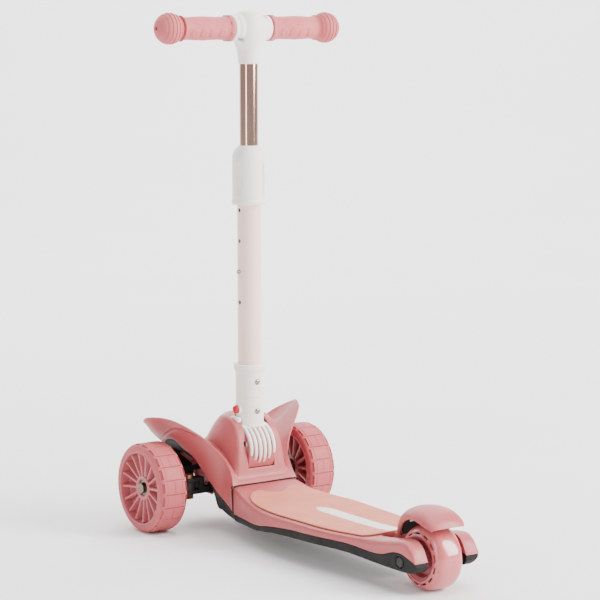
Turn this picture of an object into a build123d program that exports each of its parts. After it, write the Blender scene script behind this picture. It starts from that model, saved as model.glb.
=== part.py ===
"""Three-wheeled folding kick scooter for a child: 60 separate pieces.

Millimetres. +X is the rider's right, +Y is forwards, +Z is up. The origin lies on
the ground under the middle of the scooter's bounding box.
"""
from build123d import *
import os
from math import cos, sin, radians

# ---------------------------------------------------------------- driving dimensions
FRONT_R, FRONT_W = 60.0, 42.0      # front tyre radius and width
REAR_R, REAR_W = 40.0, 42.0        # rear tyre radius and width
TRACK_HALF = 120.5                 # middle of the scooter to the middle of a front wheel
FRONT_Y, REAR_Y = 224.0, -228.0    # wheel axles
REAR_AXLE_Z = REAR_R
AXLE_R = 4.0                       # wheel bolts are 8 mm
BEARING_R, BEARING_W = 11.0, 7.0   # standard 8 x 22 x 7 ball bearing
RUN = 0.05                         # radial running clearance of pins and shafts
GAP = 0.4                          # working gap between moving neighbours

KINGPIN_X, KINGPIN_Y = 80.0, 197.0
KINGPIN_R = 4.0
ARM = 22.4                         # steering arm, kingpin to tie-rod pin
LEAN_Z = 52.0                      # height of the lean shaft
LEAN_R = 5.0
TIE_Z, TIE_T = 80.0, 5.0           # middle of the tie rod and its thickness
BALL_R = 4.0

COLUMN_Y = 168.0
FOLD_Z, FOLD_R = 110.0, 5.0        # fold pin height and radius
DRUM_R, DRUM_HALF = 24.0, 21.0     # barrel of the column base on the fold pin
EAR_T = 4.0
BASE_R, BASE_LIP_R, BASE_TOP = 18.8, 21.55, 224.0
LOWER_R, LOWER_WALL, LOWER_FOOT, LOWER_TOP = 16.0, 1.6, 176.0, 500.0
UPPER_R, UPPER_WALL, UPPER_FOOT, UPPER_TOP = 12.3, 1.5, 236.0, 652.0
SNAP_Z, SNAP_PITCH, SNAP_R = 348.9, 41.1, 2.9
COLLAR_R, COLLAR_LIP_R = 22.35, 23.2
COLLAR_FOOT, COLLAR_TOP = 438.6, 516.9
HEAD_FOOT, HEAD_TOP, HEAD_R = 624.0, 694.6, 24.5
BAR_Z, BAR_R, BAR_WALL = 671.0, 11.0, 1.6
GRIP_START, GRIP_END, KNOB_X, KNOB_R = 30.5, 142.5, 122.9, 20.8

FORK_GAP = 29.5                    # half the slot for the rear wheel
SLOT_FRONT = -160.0
SKIN = 3.0                         # moulded wall thickness
SEAM_Y = 132.0                     # joint between the deck and the front hood
BRAKE_Y, BRAKE_Z = -172.0, 38.0    # pivot of the rear brake
PLATE_R = 46.3                     # brake plate, inside radius about the rear axle

# deck edge: (y, half width), and heights along it: (y, z)
DECK_EDGE = [(132, 51.5), (120, 54), (91, 59.5), (54, 67), (14, 70.5), (-33, 67.8),
             (-80, 65.7), (-130, 57.6), (-176, 53), (-232, 51), (-258, 48)]
DECK_TOP = [(142, 68.5), (122, 65), (92, 57.5), (66, 54.6), (46, 54), (-96, 54), (-128, 55),
            (-172, 58), (-200, 61), (-234, 66), (-246, 63), (-254, 53), (-257, 42)]
SPLIT = [(142, 30), (80, 31), (50, 33), (22, 38), (-18, 42), (-48, 43), (-130, 45),
         (-172, 42.5), (-194, 43), (-216, 50), (-233, 51), (-244, 48), (-257, 42)]
DECK_FOOT = [(142, 19), (106, 20), (68, 22), (14, 29), (-26, 30), (-116, 31.5),
             (-176, 28), (-216, 27.5), (-244, 28), (-257, 42)]

# hood ribs: y, then (x, z) of crown, shoulder, valley, ridge and lower edge
HOOD = [
    (132.4, (0, 67), (36, 67), (43, 67), (51, 67), (50, 33)),
    (139.5, (0, 77), (36, 76), (42, 76), (48.5, 80), (50, 40)),
    (142, (0, 98), (35, 94), (41.5, 80), (48.8, 83), (50.5, 41)),
    (145, (0, 120), (33.5, 115), (41, 82), (49, 88), (51, 43)),
    (151, (0, 138), (33, 132), (40.5, 88), (50, 97), (53, 47)),
    (160, (0, 147), (32, 142), (40, 96), (57, 111), (56, 54)),
    (170, (0, 152), (31, 147), (40, 102), (70, 127), (59, 62)),
    (183, (0, 154), (31, 150), (40.5, 108), (86, 140), (65, 76)),
    (198, (0, 154), (29, 147), (41, 113), (101, 150), (71, 94)),
    (215, (0, 151), (22, 139), (42, 114), (111, 155), (84, 121)),
    (232, (0, 143), (18, 125), (43, 108), (123, 153), (104, 142)),
    (248, (0, 130), (16, 108), (43, 99), (115, 146), (102, 136)),
    (262, (0, 110), (16, 94), (42, 86), (103, 136), (94, 126)),
    (271, (0, 84), (16, 78), (36, 74), (92, 125), (87, 116)),
]


# ---------------------------------------------------------------- small helpers
def block(x0, x1, y0, y1, z0, z1):
    """Box from its six limits."""
    return Pos((x0 + x1) / 2, (y0 + y1) / 2, (z0 + z1) / 2) * Box(x1 - x0, y1 - y0, z1 - z0)


def rod(radius, start, direction, length):
    """Cylinder from a start point along a direction."""
    return Solid.make_cylinder(radius, length, Plane(origin=start, z_dir=direction))


def rod_x(radius, x0, x1, y, z):
    return rod(radius, (x0, y, z), (1, 0, 0), x1 - x0)


def rod_z(radius, x, y, z0, z1):
    return rod(radius, (x, y, z0), (0, 0, 1), z1 - z0)


def side_plate(points, x0, x1):
    """Closed (y, z) outline, extruded across the scooter from x0 to x1."""
    return extrude(Plane.YZ.offset(x0) * make_face(Polyline(*points, close=True)), x1 - x0)


def turned_x(points, y, z):
    """Closed (x, radius) outline, turned about a line along X."""
    return Pos(0, y, z) * revolve(make_face(Polyline(*points, close=True)), Axis.X)


def turned_z(points, x, y):
    """Closed (radius, z) outline, turned about a line along Z."""
    face = Plane.XZ * make_face(Polyline(*points, close=True))
    return Pos(x, y, 0) * revolve(face, Axis.Z)


def hexagon_x(across, x0, x1, y, z):
    """Hexagonal prism along X."""
    plane = Plane(origin=(x0, y, z), z_dir=(1, 0, 0))
    return extrude(plane * RegularPolygon(across / 2, 6, major_radius=False), x1 - x0)


def hexagon_z(across, x, y, z0, z1):
    """Hexagonal prism along Z."""
    return Pos(x, y, z0) * extrude(RegularPolygon(across / 2, 6, major_radius=False), z1 - z0)


def arc_ring(y, z, inner, outer, start, end, x0, x1):
    """Part of a ring about a line along X, from one angle to another above +Y."""
    steps = 12
    turns = [radians(start + (end - start) * i / steps) for i in range(steps + 1)]
    outside = [(y + outer * cos(a), z + outer * sin(a)) for a in turns]
    inside = [(y + inner * cos(a), z + inner * sin(a)) for a in reversed(turns)]
    return side_plate(outside + inside, x0, x1)


def coil(radius, wire, turns, start, direction, length):
    """Compression spring as one swept wire."""
    pitch = length / turns
    path = Helix(pitch, length, radius)
    ring = Plane(origin=path @ 0, z_dir=path % 0) * Circle(wire)
    return Plane(origin=start, z_dir=direction).location * sweep(ring, path=path)


# ---------------------------------------------------------------- deck
def deck_plan(inset):
    """Deck outline seen from above, drawn in by the inset, as a tall solid."""
    right = [(half - inset, y) for y, half in DECK_EDGE]
    left = [(-x, y) for x, y in reversed(right)]
    edge = [Spline(*right), Line(right[-1], left[0]), Spline(*left), Line(left[-1], right[0])]
    return extrude(make_face(edge), 120)


def smooth(curve):
    """Smooth (y, z) curve, cut in two round a level stretch if it has one."""
    for i, (a, b) in enumerate(zip(curve, curve[1:])):
        if a[1] == b[1]:
            fore = Spline(*curve[:i + 1], tangents=[(-1, -0.1), (-1, 0)])
            rear = Spline(*curve[i + 1:], tangents=[(-1, 0), (-0.1, -1)])
            return [fore, Line(a, b), rear]
    return [Spline(*curve)]


def between(lower, upper, half=90):
    """Solid between two (y, z) curves that run from the front to the rear."""
    ends = [Line(upper[0], lower[0])]
    if upper[-1] != lower[-1]:
        ends.append(Line(upper[-1], lower[-1]))
    face = make_face(smooth(upper) + smooth(lower) + ends)
    return extrude(Plane.YZ.offset(-half) * face, 2 * half)


def shifted(curve, dz):
    return [(y, z + dz) for y, z in curve]


def height_at(curve, y):
    """Height of a (y, z) curve, taken straight between its points."""
    for (y0, z0), (y1, z1) in zip(curve, curve[1:]):
        if y1 <= y <= y0:
            return z0 + (z1 - z0) * (y - y0) / (y1 - y0)


def wheel_slot(margin):
    return block(-FORK_GAP - margin, FORK_GAP + margin, -300, SLOT_FRONT + margin, 0, 120)


def pivot_holes():
    """Holes for the brake pin and for the rear wheel's bolt with its sunk ends."""
    holes = rod_x(3.0, -34, 34, BRAKE_Y, BRAKE_Z) + rod_x(AXLE_R, -60, 60, REAR_Y, REAR_AXLE_Z)
    holes += rod_x(7.6, -60, -44.5, REAR_Y, REAR_AXLE_Z)
    return holes + rod_x(7.6, 44.5, 60, REAR_Y, REAR_AXLE_Z)


def deck_shell():
    """Pink top cover: an open-bottomed tray with a slot for the rear wheel."""
    shell = deck_plan(0) & between(SPLIT, DECK_TOP)
    hollow = deck_plan(SKIN) & between(shifted(DECK_FOOT, -5), shifted(DECK_TOP, -SKIN))
    shell -= hollow - wheel_slot(SKIN)
    shell -= wheel_slot(0)
    shell -= block(-90, 90, SEAM_Y - 2, SEAM_Y + 20, 0, 120)
    return shell - pivot_holes()


def deck_base():
    """Black lower tray with cross ribs and the two rear fork arms."""
    base = deck_plan(0) & between(DECK_FOOT, SPLIT)
    hollow = deck_plan(SKIN) & between(shifted(DECK_FOOT, SKIN), shifted(SPLIT, 20))
    hollow &= block(-80, 80, -200, SEAM_Y - 3.5, 0, 100)
    base -= hollow - wheel_slot(SKIN)
    for y in (60, -22, -68, -112):
        floor = height_at(DECK_FOOT, y)
        base += block(-50, 50, y - 1.5, y + 1.5, floor + 1, floor + 5)
    base -= block(-90, 90, SEAM_Y - 2, SEAM_Y + 20, 0, 120)
    base -= wheel_slot(0)
    for screw in deck_screws():
        base -= screw
    return base - pivot_holes()


PAD_EDGE = [(-47, 92), (-45, 106), (-38, 110), (-22, 107), (-12, 95), (0, 92), (12, 95),
            (22, 107), (38, 110), (45, 106), (47, 92)]
STRIPE_EDGE = [(-4, 10), (4, 10), (9, 4), (11.5, -6), (11.5, -152), (-11.5, -152),
               (-11.5, -6), (-9, 4)]


def pad_blank():
    """Plan of the foot pad: inside the deck edge, with a wavy front and a square tail."""
    sides = [(half - 6, y) for y, half in DECK_EDGE if -140 < y < 92]
    left = [(-x, y) for x, y in reversed(sides)]
    edge = [Spline(*PAD_EDGE), Spline(PAD_EDGE[-1], *sides), Line(sides[-1], left[0]),
            Spline(*left, PAD_EDGE[0])]
    return extrude(make_face(edge), 120)


def stripe_blank():
    return extrude(make_face(Polyline(*STRIPE_EDGE, close=True)), 120)


def deck_pad():
    """Soft anti-slip pad, 2.5 mm thick, with the window for the middle stripe."""
    pad = pad_blank() & between(DECK_TOP, shifted(DECK_TOP, 2.5))
    return pad - stripe_blank()


def deck_stripe():
    return stripe_blank() & between(DECK_TOP, shifted(DECK_TOP, 2.5))


def deck_spine():
    """Steel box section that carries the rider inside the deck."""
    spine = block(-20, 20, -148, 128, 37, 48.5) - block(-18, 18, -148, 128, 39, 46.5)
    for screw in deck_screws():
        spine -= screw
    return spine


def deck_screws():
    """Screws through the black tray into the spine, from below."""
    screws = []
    for y in (90, 0, -45, -90, -135):
        floor = height_at(DECK_FOOT, y)
        for x in (-12, 12):
            screws.append(rod_z(2.0, x, y, floor, 39) + rod_z(3.6, x, y, floor + 0.3, floor + 1.8))
    return screws


def seam_strip():
    """Black strip in the joint between deck and hood."""
    outer = block(-51, 51, SEAM_Y - 1.95, SEAM_Y + 0.35, 31, 66.9)
    return outer - block(-48.5, 48.5, 120, 150, 0, 64.6)


# ---------------------------------------------------------------- hood
def hood_ring(rib, skin):
    """Closed outline of one rib: over the top, then back a skin thickness inside."""
    y, half = rib[0], rib[1:]
    over = [(-x, z) for x, z in reversed(half[1:])] + list(half)
    under = [(max(abs(x) - skin * 0.6, 0) * (1 if x > 0 else -1), z - skin) for x, z in over]
    under[0] = (over[0][0] + skin, over[0][1])
    under[-1] = (over[-1][0] - skin, over[-1][1])
    return Wire.make_polygon([(x, y, z) for x, z in over + under[::-1]], close=True)


def hood():
    """Pink front hood: hump over the fold joint and two wings over the wheels."""
    shell = Solid.make_loft([hood_ring(rib, SKIN) for rib in HOOD], ruled=True)
    shell -= rod_z(BASE_R + 3.4, 0, COLUMN_Y, 100, 170)
    shell -= block(-22.2, 22.2, 120, COLUMN_Y, 84, 170)
    return shell


def hood_nose():
    """Pink front wall below the hood, joined to it by one screw line."""
    return block(-26, 26, 266, 269, 34, 65) + block(-26, 26, 240, 269, 34, 37)


def hood_liner():
    """Black arch liners between the hood's lower edge and the front truck."""
    sides = []
    for side in (-1, 1):
        rings = []
        for y, _, _, _, _, (x, z) in HOOD[4:8]:
            edge = [(x - 0.4, z - 0.4), (46, min(z - 12, 58)), (43.5, min(z - 12, 58)), (x - 3.2, z - 0.4)]
            rings.append(Wire.make_polygon([(side * u, y, v) for u, v in edge], close=True))
        sides.append(Solid.make_loft(rings, ruled=True))
    return sides


# ---------------------------------------------------------------- fold bracket
BRACKET_SIDE = [(151, 48.5), (188, 48.5), (188, 70), (193, 94), (234, 94), (234, 98),
                (190, 98), (187, 110), (180, 121), (168, 125), (159, 121), (153, 112)]


def fold_bracket():
    """Steel bracket: two ears for the fold pin, spring plate, lean shaft walls."""
    bracket = block(-26, 26, 96, 182, 48.5, 52.5) + block(-26, 26, 182, 188, 40, 66)
    inner = DRUM_HALF + 1
    for x in (-inner - EAR_T, inner):
        bracket += side_plate(BRACKET_SIDE, x, x + EAR_T)
    bracket += block(-50, 50, 191, 234, 94, 98) + block(-14, 14, 230, 234, 40, 94)
    bracket -= rod_x(FOLD_R, -40, 40, COLUMN_Y, FOLD_Z)
    bracket -= rod(LEAN_R, (0, 180, LEAN_Z), (0, 1, 0), 60)
    return bracket - rod_z(3.0, 0, KINGPIN_Y + ARM, 90, 100)


def fold_pin():
    inner = DRUM_HALF + 1 + EAR_T
    pin = rod_x(FOLD_R, -inner - 1, inner + 1, COLUMN_Y, FOLD_Z)
    return pin + rod_x(7.5, inner, inner + 3, COLUMN_Y, FOLD_Z)


def detent_disc():
    """Notched steel disc fixed on the fold pin, for the latch tongue."""
    disc = rod_x(20, -3, 3, COLUMN_Y, FOLD_Z) - rod_x(FOLD_R, -4, 4, COLUMN_Y, FOLD_Z)
    return disc - block(-4, 4, COLUMN_Y - 3.9, COLUMN_Y + 3.9, FOLD_Z + 16, FOLD_Z + 25)


def steer_post():
    """Ball-ended post under the spring plate that pushes the tie rod."""
    post_y = KINGPIN_Y + ARM
    post = rod_z(3.0, 0, post_y, TIE_Z, 98)
    return post + Pos(0, post_y, TIE_Z) * Sphere(BALL_R) + rod_z(6, 0, post_y, 98, 100.5)


def lean_shaft():
    return rod(LEAN_R, (0, 180, LEAN_Z), (0, 1, 0), 56)


def lean_springs():
    """Two coil springs that stand the deck upright again."""
    return [coil(7.5, 1.3, 5, (x, KINGPIN_Y, 61.6), (0, 0, 1), 31) for x in (-38, 38)]


# ---------------------------------------------------------------- front truck
LUGS = ((50.0, 55.0), (67.0, 72.0))   # lower and upper lugs at each kingpin


def axle_beam():
    """Beam that rocks on the lean shaft, with two lugs at each end."""
    beam = block(-66, 66, 190, 204, 50, 58) + rod(11, (0, 189, LEAN_Z), (0, 1, 0), 40.4)
    beam += block(-48, 48, 188.5, 205.5, 56, 60)
    for side in (-1, 1):
        x0, x1 = sorted((side * 60, side * 67))
        beam += block(x0, x1, 189, 205, 50, 72)
        for z0, z1 in LUGS:
            x0, x1 = sorted((side * 62, side * KINGPIN_X))
            beam += block(x0, x1, 189, 205, z0, z1)
            beam += rod_z(8, side * KINGPIN_X, KINGPIN_Y, z0, z1)
            beam -= rod_z(KINGPIN_R, side * KINGPIN_X, KINGPIN_Y, z0 - 1, z1 + 1)
    return beam - rod(LEAN_R + RUN, (0, 180, LEAN_Z), (0, 1, 0), 60)


def kingpins():
    pins = []
    for side in (-1, 1):
        pin = rod_z(KINGPIN_R, side * KINGPIN_X, KINGPIN_Y, 43, 72)
        pins.append(pin + rod_z(7, side * KINGPIN_X, KINGPIN_Y, 72, 77))
    return pins


def kingpin_nuts():
    nuts = [hexagon_z(13, side * KINGPIN_X, KINGPIN_Y, 44, 50) for side in (-1, 1)]
    return [nut - rod_z(KINGPIN_R, side * KINGPIN_X, KINGPIN_Y, 40, 55)
            for nut, side in zip(nuts, (-1, 1))]


def tie_rod():
    """Flat bar over the steering arms, with a round hole for the ball post."""
    pin_y = KINGPIN_Y + ARM
    bar = block(-82, 82, pin_y - 5, pin_y + 5, TIE_Z - TIE_T / 2, TIE_Z + TIE_T / 2)
    bar += rod_z(9, 0, pin_y, TIE_Z - TIE_T / 2, TIE_Z + TIE_T / 2)
    for side in (-1, 1):
        bar += rod_z(7, side * KINGPIN_X, pin_y, TIE_Z - TIE_T / 2, TIE_Z + TIE_T / 2)
        bar -= rod_z(3.15, side * KINGPIN_X, pin_y - 0.4, 70, 90)
        bar -= rod_z(3.15, side * KINGPIN_X, pin_y + 0.4, 70, 90)
    return bar - rod_z(BALL_R + 0.15, 0, pin_y, 70, 90)


def knuckle(side):
    """Steering knuckle: kingpin barrel, steering arm with its pin, wheel boss."""
    x, pin_y = side * KINGPIN_X, KINGPIN_Y + ARM
    body = rod_z(9, x, KINGPIN_Y, LUGS[0][1] + GAP, LUGS[1][0] - GAP)
    x0, x1 = sorted((side * 74, side * 96))
    body += block(x0, x1, KINGPIN_Y + 2, FRONT_Y, 55.4, 66.6)
    x0, x1 = sorted((side * 74, side * 98))
    body += rod_x(9, x0, x1, FRONT_Y, FRONT_R)
    body += rod_z(6, x, pin_y, 60, 74) + rod_z(3, x, pin_y, 74, TIE_Z + 4.5)
    body -= rod_z(KINGPIN_R + RUN, x, KINGPIN_Y, 50, 72)
    x0, x1 = sorted((side * 86, side * 99))
    return body - rod_x(AXLE_R, x0, x1, FRONT_Y, FRONT_R)


def mirrored_x(points, side):
    return [(side * x, r) for x, r in points]


INNER, OUTER = TRACK_HALF - FRONT_W / 2, TRACK_HALF + FRONT_W / 2


def axle_bolt(side):
    """Shouldered bolt from outside into the knuckle, with a hexagon head."""
    x0, x1 = sorted((side * 86, side * 133.7))
    bolt = rod_x(AXLE_R, x0, x1, FRONT_Y, FRONT_R)
    x0, x1 = sorted((side * 133.7, side * 138.5))
    return bolt + hexagon_x(13, x0, x1, FRONT_Y, FRONT_R)


def axle_spacer(side):
    """Washer at the knuckle and the sleeve between the two bearings."""
    spans = ((98, 100.9), (108.1, 126.4))
    pieces = []
    for a, b in spans:
        x0, x1 = sorted((side * a, side * b))
        ring = rod_x(6, x0, x1, FRONT_Y, FRONT_R)
        pieces.append(ring - rod_x(AXLE_R, x0 - 1, x1 + 1, FRONT_Y, FRONT_R))
    return pieces


def tyre_outline(x0, x1, bore, radius, shoulder):
    """Half section of a round-shouldered tyre."""
    arc = [radians(15 * i) for i in range(7)]
    left = [(x0 + shoulder * (1 - cos(a)), radius - shoulder * (1 - sin(a))) for a in arc]
    right = [(x1 - shoulder * (1 - cos(a)), radius - shoulder * (1 - sin(a))) for a in reversed(arc)]
    return [(x0, bore)] + left + right + [(x1, bore)]


def front_tyre(side):
    outline = tyre_outline(INNER, OUTER, 46, FRONT_R, 7)
    return turned_x(mirrored_x(outline, side), FRONT_Y, FRONT_R)


def front_rim(side):
    """Dished wheel: rim, web and hub with a seat for each bearing."""
    outline = [(100.5, 46), (100.5, 41), (113, 39), (113, 17), (101, 15), (101, 11), (108, 11),
               (108, 8), (126.5, 8), (126.5, 11), (133.5, 11), (133.5, 15), (129, 17),
               (129, 39), (139, 41), (140.5, 46)]
    return turned_x(mirrored_x(outline, side), FRONT_Y, FRONT_R)


def bearing(x0, y, z):
    ring = rod_x(BEARING_R, x0, x0 + BEARING_W, y, z)
    return ring - rod_x(AXLE_R + RUN, x0 - 1, x0 + BEARING_W + 1, y, z)


def front_bearings(side):
    starts = (101, 126.5) if side > 0 else (-108, -133.5)
    return [bearing(x, FRONT_Y, FRONT_R) for x in starts]


# ---------------------------------------------------------------- rear wheel and brake
def rear_tyre():
    half = REAR_W / 2
    return turned_x(tyre_outline(-half, half, 27, REAR_R, 12), REAR_Y, REAR_AXLE_Z)


def rear_core():
    outline = [(-20, 27), (-18, 23), (-10, 21), (-10, 14), (-17, 13), (-17, 11), (-10, 11),
               (-10, 8), (10, 8), (10, 11), (17, 11), (17, 13), (10, 14), (10, 21), (18, 23),
               (20, 27)]
    return turned_x(outline, REAR_Y, REAR_AXLE_Z)


def rear_bearings():
    return [bearing(x, REAR_Y, REAR_AXLE_Z) for x in (-17, 10)]


def rear_axle():
    """Bolt through both fork arms, head sunk in the left one."""
    bolt = rod_x(AXLE_R, -45, 50, REAR_Y, REAR_AXLE_Z)
    return bolt + hexagon_x(12, -49.5, -44.5, REAR_Y, REAR_AXLE_Z)


def rear_nut():
    nut = hexagon_x(12, 44.5, 49, REAR_Y, REAR_AXLE_Z)
    return nut - rod_x(AXLE_R, 40, 55, REAR_Y, REAR_AXLE_Z)


def rear_spacers():
    """Sleeves that keep the wheel in the middle, and one between the bearings."""
    pieces = []
    for x0, x1 in ((-FORK_GAP, -17.1), (-9.9, 9.9), (17.1, FORK_GAP)):
        ring = rod_x(6, x0, x1, REAR_Y, REAR_AXLE_Z)
        pieces.append(ring - rod_x(AXLE_R, x0 - 1, x1 + 1, REAR_Y, REAR_AXLE_Z))
    return pieces


FENDER_TOP = [(-158, 60.5), (-167, 72), (-181, 87), (-197, 97), (-211, 101.5), (-235, 104),
              (-256, 102), (-273, 96), (-284, 88)]
FENDER_EDGE = [(-265, 84), (-252, 85), (-241, 90), (-225, 89), (-210, 76), (-201, 66),
               (-186, 60)]
FENDER_UNDER = [(-162, 57), (-170, 68), (-183, 83), (-198, 93.5), (-211, 98), (-235, 100.6),
                (-255, 99), (-271, 93), (-284, 80), (-284, 30), (-170, 30)]


def rear_fender():
    """Curved rear cover that is pressed down as the brake."""
    shape = side_plate(FENDER_TOP + FENDER_EDGE, -28.8, 28.8)
    shape += side_plate(FENDER_TOP[2:] + FENDER_EDGE[:5], -34, 34)
    shape -= side_plate(FENDER_UNDER, -25.8, 25.8)
    shape -= side_plate([(-205, 70), (-290, 70), (-290, 92), (-205, 96)], -31, 31)
    shape += block(-20, 20, BRAKE_Y - 3, BRAKE_Y + 3, BRAKE_Z, 62)
    shape += side_plate([(-158, 60.5), (-166, 70), (-175, 62), (-169, 57)], -24, 24)
    shape += rod_x(6, -24, 24, BRAKE_Y, BRAKE_Z)
    for y in (-222, -238):
        shape += block(-12, 12, y - 2, y + 2, REAR_AXLE_Z + PLATE_R + 2.2, 101)
    return shape - rod_x(3 + RUN, -30, 30, BRAKE_Y, BRAKE_Z)


def brake_plate():
    """Steel shoe that rubs on the rear tyre."""
    return arc_ring(REAR_Y, REAR_AXLE_Z, PLATE_R, PLATE_R + 2, 64, 114, -18, 18)


def brake_pin():
    return rod_x(3, -33, 33, BRAKE_Y, BRAKE_Z)


def brake_spring():
    """Torsion spring that lifts the brake, round the pin beside the barrel."""
    spring = rod_x(5.2, 24.5, 29, BRAKE_Y, BRAKE_Z) - rod_x(3.4, 24, 30, BRAKE_Y, BRAKE_Z)
    return spring


# ---------------------------------------------------------------- column
def column_base():
    """White foot of the column: socket for the tube, neck and pivot barrel."""
    outline = [(0, 146), (14, 146), (17.5, 149), (BASE_R, 153), (BASE_R, 212), (BASE_LIP_R, 217),
               (BASE_LIP_R, BASE_TOP), (LOWER_R, BASE_TOP), (LOWER_R, LOWER_FOOT), (0, LOWER_FOOT)]
    foot = turned_z(outline, 0, COLUMN_Y)
    foot += rod_x(DRUM_R, -DRUM_HALF, DRUM_HALF, COLUMN_Y, FOLD_Z)
    foot += block(-16, 16, COLUMN_Y - 6.5, COLUMN_Y + 15, FOLD_Z, 149)
    foot -= rod_x(FOLD_R + RUN, -30, 30, COLUMN_Y, FOLD_Z)
    foot -= rod_x(20.6, -3.5, 3.5, COLUMN_Y, FOLD_Z)
    foot -= block(-3.5, 3.5, COLUMN_Y, COLUMN_Y + 30, 80, FOLD_Z)
    foot -= rod_z(3.6, 0, COLUMN_Y, 128, 156.8)
    foot -= rod_x(4.7, -30, -3.5, COLUMN_Y, 162)
    for z in (161.5, 201):
        foot -= screw_tool(z)
    return foot


def screw_tool(z):
    """Shank and sunk head of one base screw, pointing forwards."""
    shank = rod(2.0, (0, COLUMN_Y - 18, z), (0, 1, 0), 5)
    return shank + rod(4.15, (0, COLUMN_Y - BASE_R - 0.7, z), (0, 1, 0), 2.5)


def base_screws():
    return [screw_tool(z) for z in (161.5, 201)]


def hinge_comb():
    """Six curved fingers that close the fold joint's rear opening."""
    comb = arc_ring(COLUMN_Y, FOLD_Z, DRUM_R + 0.02, 34, 107, 116, -20.2, 20.2)
    for i in range(6):
        x = -18 + 7.2 * i
        comb += arc_ring(COLUMN_Y, FOLD_Z, 29, 34, 115, 208, x - 2.2, x + 2.2)
    return comb


def fold_button():
    """Red push button of the fold latch."""
    return rod_x(4.6, -21.8, -9.5, COLUMN_Y, 162)


def button_spring():
    return coil(3.2, 0.45, 5, (-9.0, COLUMN_Y, 162), (1, 0, 0), 5)


def latch_tongue():
    """Steel tongue that drops towards the detent disc."""
    return rod_z(3.5, 0, COLUMN_Y, 130.8, 153.5)


def adjust_holes():
    """Four holes for the snap button down the tube's left side."""
    holes = [rod_x(SNAP_R + 0.1, -20, -10, COLUMN_Y, SNAP_Z + SNAP_PITCH * i) for i in (-1, 0, 1, 2)]
    return holes


def lower_tube():
    tube = rod_z(LOWER_R, 0, COLUMN_Y, LOWER_FOOT, LOWER_TOP)
    tube -= rod_z(LOWER_R - LOWER_WALL, 0, COLUMN_Y, LOWER_FOOT - 1, LOWER_TOP + 1)
    for hole in adjust_holes():
        tube -= hole
    return tube - screw_tool(201)


def collet():
    """Split plastic sleeve between the two tubes that the collar squeezes."""
    outline = [(UPPER_R + RUN, 455), (LOWER_R - LOWER_WALL, 455), (LOWER_R - LOWER_WALL, LOWER_TOP),
               (LOWER_R, LOWER_TOP), (LOWER_R - 1, 507), (UPPER_R + RUN, 507)]
    sleeve = turned_z(outline, 0, COLUMN_Y)
    for turn in (45, 165, 285):
        slit = Rot(0, 0, turn) * block(8, 20, -0.75, 0.75, 480, 510)
        sleeve -= Pos(0, COLUMN_Y, 0) * slit
    return sleeve


def clamp_collar():
    """Fluted white collar that is twisted to free or clamp the upper tube."""
    inner = LOWER_R + RUN
    outline = [(inner, COLLAR_FOOT), (COLLAR_LIP_R, COLLAR_FOOT), (COLLAR_LIP_R, COLLAR_FOOT + 6),
               (COLLAR_R, COLLAR_FOOT + 8), (COLLAR_R, 500), (21.0, 508), (17.5, 513.5),
               (UPPER_R + 1.6, COLLAR_TOP), (UPPER_R + 0.4, COLLAR_TOP), (UPPER_R + 0.4, 509),
               (inner, 508)]
    collar = turned_z(outline, 0, COLUMN_Y)
    for i in range(8):
        flute = rod_z(3, COLLAR_R + 2.1, 0, 452, 492)
        collar -= Pos(0, COLUMN_Y, 0) * Rot(0, 0, 45 * i) * flute
    return collar


def upper_tube():
    tube = rod_z(UPPER_R, 0, COLUMN_Y, UPPER_FOOT, UPPER_TOP)
    tube -= rod_z(UPPER_R - UPPER_WALL, 0, COLUMN_Y, UPPER_FOOT - 1, UPPER_TOP + 1)
    return tube - rod_x(SNAP_R + RUN, -16, 0, COLUMN_Y, SNAP_Z)


def snap_button():
    """Domed pin that pops through one hole of the lower tube."""
    return rod_x(SNAP_R, -18.4, -8.5, COLUMN_Y, SNAP_Z)


def snap_spring():
    """Bent leaf spring behind the snap button, inside the upper tube."""
    leaf = block(-8.4, -7.7, COLUMN_Y - 3, COLUMN_Y + 3, SNAP_Z - 22, SNAP_Z + 5)
    leaf += block(-8.4, 9.6, COLUMN_Y - 3, COLUMN_Y + 3, SNAP_Z - 22.7, SNAP_Z - 22)
    return leaf + block(8.9, 9.6, COLUMN_Y - 3, COLUMN_Y + 3, SNAP_Z - 22, SNAP_Z)


# ---------------------------------------------------------------- handlebar
PEGS = ((-1, (0, -0.6, -0.8)), (1, (0, -0.6, 0.8)))   # side and outward direction
PEG_X = 19.0


def peg_rod(side, out, radius, near, far):
    """Cylinder along one peg's line, from near to far off the bar's axis."""
    start = (side * PEG_X, COLUMN_Y + out[1] * near, BAR_Z + out[2] * near)
    return rod(radius, start, out, far - near)


def t_head():
    """White T-piece: sleeve on the upper tube and a socket for each bar."""
    outline = [(0, HEAD_FOOT), (13.2, HEAD_FOOT), (14.25, 626), (15, 638), (18.5, 648), (22.5, 657),
               (HEAD_R, 668), (23.2, 679), (18, 688.5), (9, 693.6), (0, HEAD_TOP)]
    head = turned_z(outline, 0, COLUMN_Y) + rod_x(17, -29.5, 29.5, COLUMN_Y, BAR_Z)
    head -= rod_z(UPPER_R, 0, COLUMN_Y, HEAD_FOOT - 1, UPPER_TOP)
    for side in (-1, 1):
        x0, x1 = sorted((side * 10, side * 40))
        head -= rod_x(BAR_R, x0, x1, COLUMN_Y, BAR_Z)
    for side, out in PEGS:
        head -= peg_rod(side, out, 3.0, 5, 40)
    return head


def handlebars():
    """Two steel tubes pushed into the T-piece."""
    bars = []
    for side in (-1, 1):
        x0, x1 = sorted((side * 10, side * 118))
        bar = rod_x(BAR_R, x0, x1, COLUMN_Y, BAR_Z)
        bar -= rod_x(BAR_R - BAR_WALL, x0 - 1, x1 + 1, COLUMN_Y, BAR_Z)
        out = PEGS[0][1] if side < 0 else PEGS[1][1]
        bars.append(bar - peg_rod(side, out, 3.0, 5, 40))
    return bars


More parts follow.
